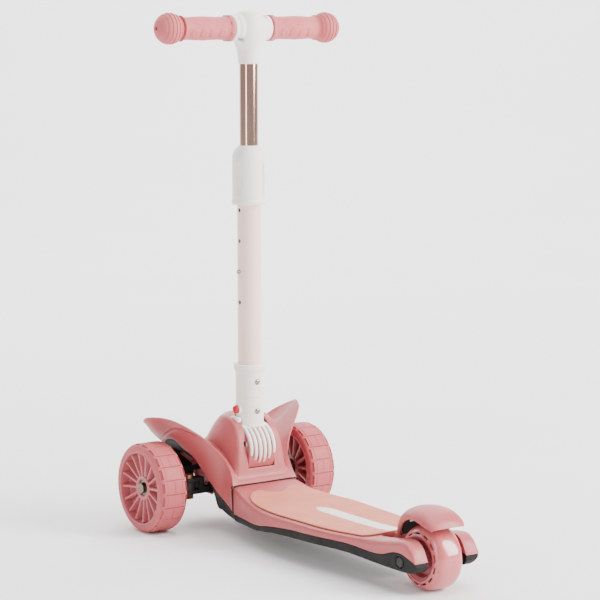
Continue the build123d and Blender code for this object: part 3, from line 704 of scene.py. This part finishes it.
def stripe_outline(grow):
    """Long rounded window in the middle of the pad."""
    front, rear, half = 10 + grow, -157 - grow, 10.6 + grow
    nose = [(half * math.cos(math.radians(t)), front - 26 + 26 * math.sin(math.radians(t)))
            for t in range(0, 181, 12)]
    return nose + [(-half, rear), (half, rear)]


def stripe_plate(grow, lift, name, material):
    """Thin plate over the stripe's outline, as high over the deck as lift."""
    outline = stripe_outline(grow)
    levels = [row for row in STATIONS if -157 < row < -16]
    ys = sorted({y for _, y in outline} | set(levels), reverse=True)
    rows = []
    for y in ys:
        reach = max(half_at(outline, y), 0.05)
        z = value_at(DECK_TOP, y) + lift
        rows.append([(reach * k / 4, y, z) for k in range(-4, 5)])
    add_piece(name, grid_mesh(rows), material, skin=0.9, edge=0.25)


def half_at(outline, y):
    """Half width of a symmetric outline at y."""
    for (x0, y0), (x1, y1) in zip(outline, outline[1:] + outline[:1]):
        if x0 >= 0 and x1 >= 0 and min(y0, y1) - 1e-6 <= y <= max(y0, y1) + 1e-6:
            if abs(y1 - y0) < 1e-9:
                return max(x0, x1)
            return x0 + (x1 - x0) * (y - y0) / (y1 - y0)
    return 0.0


def stripe():
    stripe_plate(1.3, 1.75, "stripe_border", "pink")
    stripe_plate(0.0, 2.1, "deck_stripe_mesh", "stripe")


def seam():
    """Black strip in the joint between deck and hood."""
    half, top, low = 51.7, 67.4, 30.6
    path = [(-half + 1.2, low), (-half - 0.1, 50), (-half, 63), (-half + 3.4, top), (0, top + 0.2),
            (half - 3.4, top), (half, 63), (half + 0.1, 50), (half - 1.2, low)]
    outer = spline(path, 6)
    rows = []
    for y in (SEAM_Y - 0.9, SEAM_Y - 0.55, SEAM_Y + 0.55, SEAM_Y + 0.9):
        grow = 0.0 if abs(y - SEAM_Y) > 0.7 else 0.35
        rows.append([(p.x * (1 + grow / half), y, p.y + grow) for p in outer])
    add_piece("seam_strip_mesh", grid_mesh(rows), "black", skin=1.6)


# ---- hood
# y, then (x, z) of crown, shoulder, side, valley, ridge of the pink skin
HOOD_RIBS = [
    (132.3, (0, 67.2), (35, 67.2), (39, 67.2), (44, 67.1), (51.2, 66.5)),
    (135.5, (0, 71.5), (35, 71.3), (39, 71.2), (44, 71.5), (50.2, 73)),
    (139.2, (0, 76.5), (36, 76.0), (39.5, 76), (43, 77), (48.9, 80)),
    (141.2, (0, 92), (34.5, 88.5), (38.6, 81), (42, 80), (48.8, 83.5)),
    (143.6, (0, 112), (33.5, 108), (37.2, 92), (41.5, 82.5), (49.0, 87.5)),
    (147, (0, 128), (32.5, 123.5), (36.6, 103), (41, 86), (49.6, 92.5)),
    (152.5, (0, 139.5), (31.8, 135), (36.2, 112), (40.6, 91), (51.5, 99.5)),
    (161, (0, 148), (31, 144), (35.8, 120), (40.4, 98), (58.5, 112.5)),
    (170, (0, 152), (30.5, 149), (35.4, 126), (40.4, 103), (70.5, 127)),
    (183, (0, 154), (30, 151.5), (35, 130), (40.5, 108), (86.5, 140.5)),
    (198, (0, 154), (26.5, 149), (33.5, 130), (41, 113), (101.5, 150.3)),
    (214, (0, 151.3), (20.5, 142), (30, 128), (42, 114), (111, 153.2)),
    (229, (0, 145.5), (16.5, 130), (27, 119), (43, 110), (119.6, 152.6)),
    (241, (0, 137.5), (14.5, 116), (26, 108), (43, 103), (121.6, 149.6)),
    (252, (0, 126.5), (14, 103), (26, 96), (42, 95), (115.5, 144)),
    (262, (0, 112), (15, 92), (26, 86), (40, 85), (104.5, 136.5)),
    (270.5, (0, 84), (15, 80), (24, 76), (35, 75), (93, 126)),
]
HUMP_OPENING = 21.2


def front_pull(x, y):
    """How far the front rim of the hood is drawn back between nose and wing."""
    share = min(1.0, max(0.0, (y - 240) / 30.5))
    wave = math.sin(math.pi * min(1.0, max(0.0, (abs(x) - 24) / 66)))
    return 13 * share * share * wave


def hood_rib(rib):
    """Right half of one rib, with the wing dished between valley and ridge."""
    y, crown, shoulder, side, valley, ridge = rib
    span = ridge[0] - valley[0]
    dish = 0.075 * max(0.0, span - 8)
    rise = ridge[1] - valley[1]
    wing = [(valley[0] + span * s, valley[1] + rise * s - dish * 4 * s * (1 - s))
            for s in (0.3, 0.6, 0.85)]
    neck = (shoulder[0] * 0.55, crown[1] + (shoulder[1] - crown[1]) * 0.24)
    near = (shoulder[0] * 0.86, crown[1] + (shoulder[1] - crown[1]) * 0.62)
    drop = (shoulder[0] + (side[0] - shoulder[0]) * 0.5,
            shoulder[1] + (side[1] - shoulder[1]) * 0.35)
    foot = (side[0] + (valley[0] - side[0]) * 0.55, side[1] + (valley[1] - side[1]) * 0.72)
    half = [crown, neck, near, shoulder, drop, side, foot, valley] + wing + [ridge]
    return [(x, y - front_pull(x, y), z) for x, z in half]


def hump_cuts():
    """Openings for the column, the fold comb and the two small slots beside it."""
    column = lathe_z([(100, 0), (100, 20.2), (175, 20.2), (175, 0)], 64)
    outline = rounded(-HUMP_OPENING, HUMP_OPENING, 86.8, 175, 1.5)
    comb = prism(outline, lambda u, v, w: (u, 125 + w, v), COLUMN_Y - 125)
    return [column, comb] + pair_of_boxes(20, 25.4, 125, 165, 116.5, 123.5)


# (x, y, z) of the side panel's upper and lower rim, from the seam to the wheel arch's front
PANEL = [
    ((50.8, 132.4, 66), (49.6, 132.4, 31)),
    ((48.7, 139.5, 78.5), (49.8, 139.5, 37)),
    ((49.5, 152, 97), (51, 153, 46)),
    ((57, 161, 110.5), (55, 166, 57)),
    ((69, 171, 125), (61.5, 183, 77)),
    ((79, 182, 132.5), (70.5, 197, 98.5)),
    ((87, 196, 137.3), (78, 211, 109)),
    ((91, 212, 137.2), (87, 221, 121)),
    ((91, 228, 131.5), (89, 235, 121)),
    ((88, 243, 124.8), (86, 247, 116)),
    ((84, 255, 117.5), (82, 258, 108)),
]


def side_panel(side, name):
    """Pink flank under one ridge, which becomes the lip over the wheel."""
    ribs = []
    for upper, lower in PANEL:
        a, b = Vector(upper), Vector(lower)
        out = Vector((1, 0, 0.2))
        points = [a + (b - a) * s + out * 1.6 * math.sin(math.pi * s)
                  for s in (0, 0.25, 0.5, 0.78)]
        points += [b + Vector(lip) for lip in ((0.15, 0, 0.8), (-0.9, 0, -0.2), (-3.2, 0, -0.4))]
        ribs.append(on_side(side, points))
    add_piece("hood_flank_" + name, grid_mesh(surface(ribs, 4, 5)), "pink", skin=1.8)


def liner(side, name):
    """Black arch liner: a band inside the pink flank's lower rim and the wall behind it."""
    inner = [((47.5, 132.6, 24), (44, 132.6, 20)), ((47.5, 140, 31), (43, 140, 21)),
             ((48.5, 153, 40), (44, 153, 24)), ((51, 166, 50), (45, 166, 29)),
             ((55, 179, 67), (47, 177, 36)), ((61, 190, 92), (54, 189, 91)),
             ((69, 209, 98), (58, 208, 93)), ((75, 220, 105), (61, 220, 98)),
             ((77, 233, 107), (62, 232, 99)), ((75, 246, 104), (61, 245, 97)),
             ((71, 255, 99), (58, 254, 92))]
    ribs = []
    for (_, lower), (mid, low) in zip(PANEL, inner):
        start = Vector(lower) + Vector((-0.7, 0, 1.4))
        lip = start + (Vector(mid) - start) * 0.12 + Vector((0.25, 0, -0.9))
        points = [start, lip, start + (Vector(mid) - start) * 0.6, Vector(mid), Vector(low)]
        ribs.append(on_side(side, points))
    add_piece("hood_liner_" + name, grid_mesh(surface(ribs, 4, 5)), "black",
              stands_for="hood_liner" if side < 0 else None, skin=1.6)
    wall = [((30.5, 263), 38, 73), ((40, 258.8), 40, 79.5), ((52, 254), 44, 88),
            ((62, 252.5), 50, 94.5), ((71, 249.5), 62, 99.5), ((78, 243.5), 78, 104.5)]
    ribs = [[(side * x, y, low + (high - low) * k / 4) for k in range(5)]
            for (x, y), low, high in wall]
    add_piece("front_valance_" + name, grid_mesh(surface(ribs, 2, 5)), "black", skin=1.6)


def belly():
    """Black keel under the hood, from the deck to the truck."""
    sections = [(131, 47.5, 20, 60), (141, 46, 20.5, 62), (152, 44.5, 23.5, 66), (166, 43, 29, 69),
                (178, 41, 34, 70), (185.5, 38, 38, 68)]
    rows = []
    corner = 5.0
    for y, half, low, high in sections:
        ring = [(half - corner, y, low), (half - corner * 0.3, y, low + corner * 0.3),
                (half, y, low + corner), (half - 1.5, y, high - 3), (half - 4, y, high)]
        rows.append(closed_section(ring))
    add_piece("hood_keel", capped(rows), "truck", edge=1.5)


def hood():
    ribs = [mirrored(hood_rib(rib)) for rib in HOOD_RIBS]
    add_piece("hood_mesh", grid_mesh(surface(ribs, 3, 4)), "pink", skin=2.4, cuts=hump_cuts(),
              edge=0.8, sharp=45)
    for side, name in SIDES:
        side_panel(side, name)
        liner(side, name)
    # Black boxes close behind the two small slots: painted shade, so the slots read as dark
    # openings.
    slot_shades = pair_of_boxes(21.5, 26.6, 146.2, 147.6, 115.2, 124.8)
    add_piece("hood_slot_shade_backs", joined(*slot_shades), "black")
    add_piece("hood_latch_cover", plate(rounded(-25.6, -19.8, 158, 177, 2.4), 147, 6.4), "white",
              edge=0.8)
    belly()
    nose()


def nose():
    """Front wall below the hood, curved back at both sides and tucked under at its foot."""
    ribs = []
    for z, half, y in ((83, 33, 269.5), (74, 33, 270.5), (62, 31, 270), (50, 28, 268),
                       (40, 24, 262), (36, 20, 254), (35, 18, 243)):
        ribs.append([(half * u, y - 11 * u ** 4, z - 2.2 * (1 - u * u) * 0.4)
                     for u in (-1, -0.8, -0.5, 0, 0.5, 0.8, 1)])
    add_piece("hood_nose_mesh", grid_mesh(surface(ribs, 4, 4)), "pink", skin=2.4, edge=0.7)


# ---- fold joint and column
def fold_arc(x0, x1, stations, taper=0.0):
    """Bar bent round the fold pin: stations are (degrees, inner radius, outer radius)."""
    rows = []
    last = len(stations) - 1
    for i, (degrees, inner, outer) in enumerate(stations):
        turn = math.radians(degrees)
        pinch = taper * (i / last) ** 2
        a, b = x0 + pinch, x1 - pinch
        edge = min(0.7, (b - a) * 0.25)
        ring = [(a, inner), (a, outer - edge), (a + edge, outer), (b - edge, outer),
                (b, outer - edge), (b, inner)]
        rows.append(about_x(ring, turn, COLUMN_Y, FOLD_Z))
    return capped(rows)


def fold_comb():
    """Root under the column's foot and six tapered fingers down the hump."""
    parts = [fold_arc(-20.2, 20.2, [(d, 24.2, 34.0) for d in (96, 102, 108, 113, 117)])]
    steps = 16
    for i, tip in enumerate((189.5, 202, 211, 211, 202, 189.5)):
        x = -18 + 7.2 * i
        bend = [114 + (tip - 114) * k / steps for k in range(steps + 1)]
        stations = [(d, 29.4, 34.1 - 1.6 * max(0.0, (d - tip + 22) / 22) ** 2) for d in bend]
        parts.append(fold_arc(x - 1.95, x + 1.95, stations, 0.55))
    add_piece("hinge_comb_mesh", joined(*parts), "white", "column", sharp=30)
    cover = [(110 + 112.5 * k / 26, 26.5, 30.4 + 3.4 * max(0.0, (k - 17) / 9) ** 1.4)
             for k in range(27)]
    add_piece("comb_backing", fold_arc(-20.7, 20.7, cover), "pink", "column", sharp=30)


GROOVES = (191.5, 179.5, 168.0)


def column_base():
    """Column foot with three rear grooves, and the fold drum."""
    heights = [(139.6, 0), (139.6, 17), (140.4, 18.4), (142, FOOT_R), (152, FOOT_R)]
    for groove in reversed(GROOVES):
        heights += [(groove + step, FOOT_R) for step in (-0.9, -0.45, 0.45, 0.9)]
    heights += [(205, FOOT_R), (211.5, FOOT_R), (214.5, 19.6), (217.2, 21.4), (218.2, 21.6),
                (222.6, 21.6), (BASE_TOP - 0.3, 21.2), (BASE_TOP, 20.4), (BASE_TOP, 16.1),
                (178, 16.1), (178, 0)]
    rows = []
    for t in turns(120):
        ring = []
        for z, r in heights:
            cut = bump_at(math.degrees(t), 250, 31, 3) * 1.3
            if cut and min(abs(z - g) for g in GROOVES) < 0.5 and r > 18:
                r -= cut
            ring.append((z, r))
        rows.append(about_z(ring, t))
    foot = grid_mesh(rows, close_across=True)
    half, drum, room, disc = 20.9, 24.0, 3.6, 20.8
    profile = [(-half, PIN_BORE), (-half, drum - 2), (-half + 0.8, drum - 0.6),
               (-half + 2, drum), (half - 2, drum), (half - 0.8, drum - 0.6), (half, drum - 2),
               (half, PIN_BORE), (room, PIN_BORE), (room, disc), (-room, disc),
               (-room, PIN_BORE)]
    barrel = ring_mesh([about_x(profile, t, COLUMN_Y, FOLD_Z) for t in turns(72)])
    neck = plate(rounded(-16, 16, COLUMN_Y - 6.4, COLUMN_Y + 15, 5), 131.2, 15.8)
    cheeks = pair_of_boxes(room + 0.1, 15.6, COLUMN_Y - 6, COLUMN_Y + 14, 126, 133)
    add_piece("column_base_mesh", joined(foot, barrel, neck, *cheeks), "white", "column", sharp=30)


def base_screws():
    """Pan heads with a cross recess, at the back of the column foot."""
    heads = []
    y = COLUMN_Y - 18.4
    for z in SCREW_HEIGHTS:
        profile = [(0, 4.2), (0.5, 4.15), (1.2, 3.6), (1.8, 2.5), (2.05, 1.9), (1.2, 1.4), (1.2, 0)]
        rows = [[(r * math.cos(t), y - a, z + r * math.sin(t)) for a, r in profile]
                for t in turns(36)]
        heads.append(grid_mesh(rows, close_across=True))
        for turn in (35, 125):
            t = math.radians(turn)
            u = Vector((math.cos(t), 0, math.sin(t)))
            heads.append(slot_bar(Vector((0, y - 1.75, z)), u))
    add_piece("base_screw_heads", joined(*heads), "zinc", "column", stands_for="base_screws",
              sharp=30)


def slot_bar(centre, direction):
    """Small raised rib that divides a screw's recess."""
    across = direction.cross(Vector((0, 1, 0)))
    mesh = bmesh.new()
    verts = []
    for y in (0, 1.0):
        for a, b in ((-1.6, -0.22), (1.6, -0.22), (1.6, 0.22), (-1.6, 0.22)):
            verts.append(mesh.verts.new(centre + direction * a + across * b + Vector((0, y, 0))))
    for face in ((0, 1, 2, 3), (7, 6, 5, 4), (0, 4, 5, 1), (1, 5, 6, 2), (2, 6, 7, 3),
                 (3, 7, 4, 0)):
        mesh.faces.new([verts[i] for i in face])
    return mesh


def fold_button():
    """Red domed button in a round bezel."""
    profile = [(-17, 0), (-17, 5.6), (-22.6, 5.6), (-23.8, 5.3), (-24.9, 4.6), (-25.8, 3.4),
               (-26.3, 1.6), (-26.4, 0)]
    add_piece("fold_button_mesh", lathe_x(profile, COLUMN_Y, BUTTON_Z, count=48), "red",
              "fold_button", sharp=50)
    ring = [(-17.0, 5.8), (-20.3, 5.8), (-20.8, 6.3), (-20.3, 7.2), (-17.0, 7.6)]
    bezel = ring_mesh([about_x(ring, t, COLUMN_Y, BUTTON_Z) for t in turns(48)])
    add_piece("button_bezel", bezel, "white", "column", sharp=50)


def collar():
    """Twist collar with four leaf-shaped flutes, a foot ring and a domed shoulder."""
    low, high = COLLAR_LOW.z, COLLAR_HIGH.z
    heights = [(low, 16.1), (low, 22.6), (low + 0.7, 23.15), (low + 5.2, 23.15), (low + 6.0, 22.5),
               (low + 6.8, 22.2), (low + 8, 22.35)]
    heights += [(low + 8 + 52 * k / 26, 22.35) for k in range(1, 27)]
    heights += [(high - 14, 22.1), (high - 10, 21.1), (high - 6, 19.0), (high - 3, 16.6),
                (high - 1.2, 15.0), (high - 0.3, 14.2), (high, 13.4), (high - 0.4, 12.7),
                (high - 8, 12.7)]
    flute_from, flute_long, flute_half, deep, first = 9, 49, 10.5, 3.5, 23
    rows = []
    for t in turns(200):
        around = (math.degrees(t) - first + 45) % 90 - 45
        ring = []
        for z, r in heights:
            share = (z - low - flute_from) / flute_long
            if 0 < share < 1 and r > 22:
                width = flute_half * (1 - (2 * share - 1) ** 2) ** 0.8
                away = abs(around) / max(width, 0.01)
                if away < 1:
                    r -= deep * min(1.0, width / 7) * (1 - away * away) ** 0.6
            ring.append((z, r))
        rows.append(about_z(ring, t))
    add_piece("clamp_collar_mesh", grid_mesh(rows, close_across=True), "white", "collar",
              sharp=40)


# ---- handlebar
def t_head():
    """T-piece blended from a dome on a sleeve and a socket for each bar."""
    foot = HEAD_LOW.z
    profile = [(foot, 0), (foot, 12.9), (foot + 0.5, 13.4), (foot + 2.5, 14.1), (638, 14.9),
               (646, 16.9), (654, 20.4), (662, 23.2), (669, 24.1), (676, 23.8), (683, 21.4),
               (688.5, 17.4), (692, 12.5), (694, 6.5), (694.4, 0)]
    dome = lathe_z([(p.x, p.y) for p in spline(profile, 3)], 96)
    socket = [(-29.2, 0), (-29.2, 15.6), (-28.6, 16.4), (-26.4, 16.8), (-24, 16.4), (-20, 18.6),
              (20, 18.6), (24, 16.4), (26.4, 16.8), (28.6, 16.4), (29.2, 15.6), (29.2, 0)]
    across = lathe_x(socket, COLUMN_Y, BAR_Z, count=96)
    tube_hole = lathe_z([(foot - 5, 0), (foot - 5, 12.35), (640, 12.35), (640, 0)], 64)
    bar_holes = [lathe_x([(20, 0), (20, 11.05), (35, 11.05), (35, 0)], COLUMN_Y, BAR_Z,
                         side=side, count=64) for side in (-1, 1)]
    pegs = [peg_mesh(side, 3.2, 14, 32) for side in (-1, 1)]
    add_piece("t_head_mesh", dome, "white", "handlebar", joins=[across], remesh=0.9, melt=14,
              cuts=[tube_hole] + bar_holes + pegs, sharp=50)


def peg_line(side):
    """Middle and outward direction of one peg, from its CAD node."""
    name = "left" if side < 0 else "right"
    out = Vector((0, -0.6, -0.8 if side < 0 else 0.8))
    spot = middle("handle_peg_" + name)
    return Vector((spot.x, COLUMN_Y, BAR_Z)), out


def peg_mesh(side, radius, near, far, dome=0.0):
    """Oval plug along a peg's line, with a domed end."""
    start, out = peg_line(side)
    across = out.cross(Vector((1, 0, 0))).normalized()
    levels = [(near, 0), (near, 1.0), (far - dome, 1.0)]
    if dome:
        levels += [(far - dome * 0.4, 0.85), (far - dome * 0.1, 0.5)]
    levels += [(far, 0)]
    rows = []
    for level, share in levels:
        rows.append([start + out * level + Vector((radius * 1.35 * share * math.cos(t), 0, 0))
                     + across * radius * share * math.sin(t) for t in turns(28)])
    return grid_mesh(rows, close_along=True)


def handle_pegs():
    for side, name in SIDES:
        add_piece("handle_peg_mesh_" + name, peg_mesh(side, 2.5, 8, 18.2, 1.0), "bar",
                  "handle_peg_" + name, sharp=50)


def grip_radius(x):
    """Radius of the grip's plain body at a distance from the middle."""
    table = [(38, 15.9), (42, 15.2), (50, 14.9), (60, 15.2), (72, 15.7), (84, 15.3), (96, 14.7),
             (103, 14.8)]
    return blended(table, x)


def grip_pattern(x, degrees):
    """Height of the raised ovals low on the back and of the long leaves above them."""
    height = 0.0
    for k in range(4):
        across, round_it = (x - 48.5 - 14.3 * k) / 7.0, (degrees - 206) / 26
        away = math.hypot(across, round_it)
        if away < 1:
            height += 1.15 * min(1.0, (1 - away) * 4)
    for k in range(2):
        across = (x - 58 - 24 * k) / 15
        round_it = (degrees - 150 + 12 * across) / (17 * max(0.05, 1 - across * across))
        if abs(across) < 1 and abs(round_it) < 1:
            height += 0.7 * min(1.0, (1 - abs(round_it)) * 3)
    return height


def grip(side, name):
    """Soft grip: flange with flats, patterned body, and a knob ringed with grooves."""
    start, end = GRIP_LOW.x, GRIP_HIGH.x
    knob, knob_r = 122.9, 20.6
    rows = []
    for t in turns(144):
        degrees = math.degrees(t)
        flats = 1 / max(0.93, math.cos(math.radians((degrees + 22.5) % 45 - 22.5)))
        ring = [(start, 11.1), (start, 15.5), (start + 0.6, 17.2 * flats), (35.2, 17.2 * flats),
                (36.4, 16.4 * flats), (37.2, 16.0)]
        ring += [(x, grip_radius(x) + grip_pattern(x, degrees)) for x in range(38, 104)]
        ring += [(104.4, 15.6), (105.2, 16.2), (106.2, 16.9)]
        for k in range(41):
            x = 107 + (end - 0.4 - 107) * k / 40
            away = (x - knob) / (knob_r - 0.9)
            r = knob_r * math.sqrt(max(0.0, 1 - away * away))
            if 6 <= k <= 34 and k % 6 in (0, 1):
                r -= 1.15
            ring.append((x, max(r, 3.2)))
        ring += [(end - 0.3, 2.7), (end - 5.5, 2.5), (end - 5.5, 0)]
        rows.append(about_x(ring, t, COLUMN_Y, BAR_Z, 0, side))
    add_piece("grip_mesh_" + name, grid_mesh(rows, close_across=True), "grip", "handlebar",
              sharp=36)


# ---- rear brake
# (y, z) along the top, (x, y, z) of the lower edge, for each rib from the leg to the tail
FENDER = [
    ((-168, 58), (13, -181, 57)), ((-170, 66), (14, -184, 64)), ((-174, 75), (15.6, -188, 70.5)),
    ((-181, 84), (18.5, -194, 76.5)), ((-190, 91.5), (21.5, -202, 81.5)),
    ((-201, 97), (24.3, -211, 85.5)), ((-212, 100), (26.5, -220, 88)),
    ((-223, 101), (27.8, -229, 88.5)), ((-234, 100.3), (28.3, -237, 87)),
    ((-244, 97.6), (28, -245, 84.6)), ((-252.5, 92.8), (27, -251, 82.6)),
    ((-258.5, 87.2), (25.4, -255.5, 81)), ((-261.5, 81.8), (23.4, -257.5, 80)),
]


def fender():
    ribs = []
    for (y, z), (x, edge_y, edge_z) in FENDER:
        def at(share, across):
            return (x * across, y + (edge_y - y) * share, z + (edge_z - z) * share)
        half = [at(0, 0), at(0.06, 0.34), at(0.2, 0.62), at(0.36, 0.8), at(0.58, 0.93),
                at(0.8, 0.985), at(1, 1)]
        ribs.append(mirrored(half))
    add_piece("rear_fender_mesh", grid_mesh(surface(ribs, 4, 4)), "pink", "brake", skin=2.4,
              edge=0.8, sharp=48)
    barrel = lathe_x([(-24, 3.1), (-24, 5.4), (-23.2, 6), (23.2, 6), (24, 5.4), (24, 3.1)],
                     -172, 38, count=40)
    web = prism([(-167, 40), (-177.5, 40), (-181, 59), (-169, 60)],
                lambda u, v, w: (-11.5 + w, u, v), 23)
    posts = [box_mesh(-10, 10, y - 2, y + 2, 87.5, high) for y, high in ((-222, 98), (-238, 96.5))]
    add_piece("fender_lever", joined(barrel, web, *posts), "pink", "brake", edge=0.5)
    # Black band inside the arch under the fender: partly the dark inner part, partly painted shade
    # under the fender.
    rows = []
    for t in turns(18, 24, 98):
        half = min(22.0, 10 + (math.degrees(t) - 24) * 0.3)
        band = [(-half, 49.6), (-half, 51.2), (half, 51.2), (half, 49.6)]
        rows.append(about_x(band, t, REAR.y, REAR.z))
    add_piece("fender_lining_and_shade", capped(rows), "black", "brake")


# ---- carried-over CAD nodes
CAD_FINISH = {
    "steel": """deck_spine detent_disc brake_plate brake_pin brake_spring snap_spring button_spring
        lean_springs latch_tongue rear_spacers axle_spacer_left axle_spacer_right lean_shaft
        fold_pin steer_post""",
    "dark_steel": """rear_bearings front_bearings_left front_bearings_right axle_bolt_left
        axle_bolt_right""",
    "zinc": "deck_screws snap_button",
    "brass": "kingpins kingpin_nuts",
    "truck": "rear_axle rear_nut fold_bracket axle_beam tie_rod knuckle_left knuckle_right",
    "rim": "rear_core",
    "tube": "lower_tube",
    "white": "collet",
    "chrome": "upper_tube",
    "bar": "handlebars",
}


def dress_cad_nodes():
    for finish, nodes in CAD_FINISH.items():
        for node in nodes.split():
            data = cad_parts[node].data
            data.materials.clear()
            data.materials.append(M[finish])


# ---- stage
def floor():
    """Pale floor that sweeps up into a backdrop beyond the scooter."""
    wide, flat, bend = 9000, 3200, 1800
    ahead = Vector((math.sin(CAMERA_TURN), math.cos(CAMERA_TURN), 0))
    aside = Vector((ahead.y, -ahead.x, 0))
    profile = [(-wide, 0), (flat, 0)]
    profile += [(flat + bend * math.sin(t), bend * (1 - math.cos(t))) for t in
                (math.radians(9 * k) for k in range(1, 11))] + [(flat + bend, 7000)]
    rows = [[ahead * d + aside * w + Vector((0, 0, z - 0.05)) for w in (-wide, 0, wide)]
            for d, z in profile]
    made = loose_object("floor", grid_mesh(rows), recalculate=False)
    made.data.shade_smooth()
    finish = Finish("floor_paint", 0.8)
    finish.colour((250, 249, 248), (247, 246, 245), scale=3)
    made.data.materials.append(finish.material)


def area_light(name, place, size, power, colour=(1, 1, 1), aim=(0, 0, 0.3)):
    """Upright soft box of the given width and height."""
    data = bpy.data.lights.new(name, "AREA")
    data.shape, data.energy, data.color = "RECTANGLE", power, colour
    data.size, data.size_y = size
    lamp = bpy.data.objects.new(name, data)
    bpy.context.scene.collection.objects.link(lamp)
    lamp.location = place
    lamp.rotation_euler = (Vector(aim) - Vector(place)).to_track_quat("-Z", "Y").to_euler()


def lights():
    area_light("key", (2.1, -2.4, 1.7), (1.3, 2.6), 290, (1.0, 0.985, 0.965))
    area_light("strip", (-2.6, -1.0, 1.3), (0.5, 2.2), 34)
    area_light("top", (0.3, -0.4, 3.2), (2.2, 2.2), 80)
    area_light("rim", (-0.6, 2.6, 1.7), (1.2, 1.6), 30)
    area_light("backdrop", (1.7, 2.5, 4.2), (5.0, 2.0), 420, aim=(2.9, 4.2, 0.6))
    world = bpy.data.worlds.new("studio")
    world.use_nodes = True
    background = world.node_tree.nodes["Background"].inputs
    background["Color"].default_value = (1, 1, 1, 1)
    background["Strength"].default_value = 0.5
    bpy.context.scene.world = world


def camera():
    """Behind and to the left of the scooter, a little above its deck."""
    data = bpy.data.cameras.new("camera")
    data.lens, data.sensor_width = 132.68, 36
    data.clip_end = 100
    made = bpy.data.objects.new("camera", data)
    made.location = (-1.6291, -2.2731, 0.7022)
    made.rotation_euler = (math.radians(90) - CAMERA_TILT, 0, -CAMERA_TURN)
    bpy.context.scene.collection.objects.link(made)
    bpy.context.scene.camera = made


# ---- the whole scooter
camera()
lights()
floor()
dress_cad_nodes()
for wheel_side, wheel_name in SIDES:
    front_tyre(wheel_side, wheel_name)
    front_rim(wheel_side, wheel_name)
    grip(wheel_side, wheel_name)
rear_tyre()
deck()
pad()
stripe()
seam()
hood()
fold_comb()
column_base()
base_screws()
fold_button()
collar()
t_head()
handle_pegs()
fender()
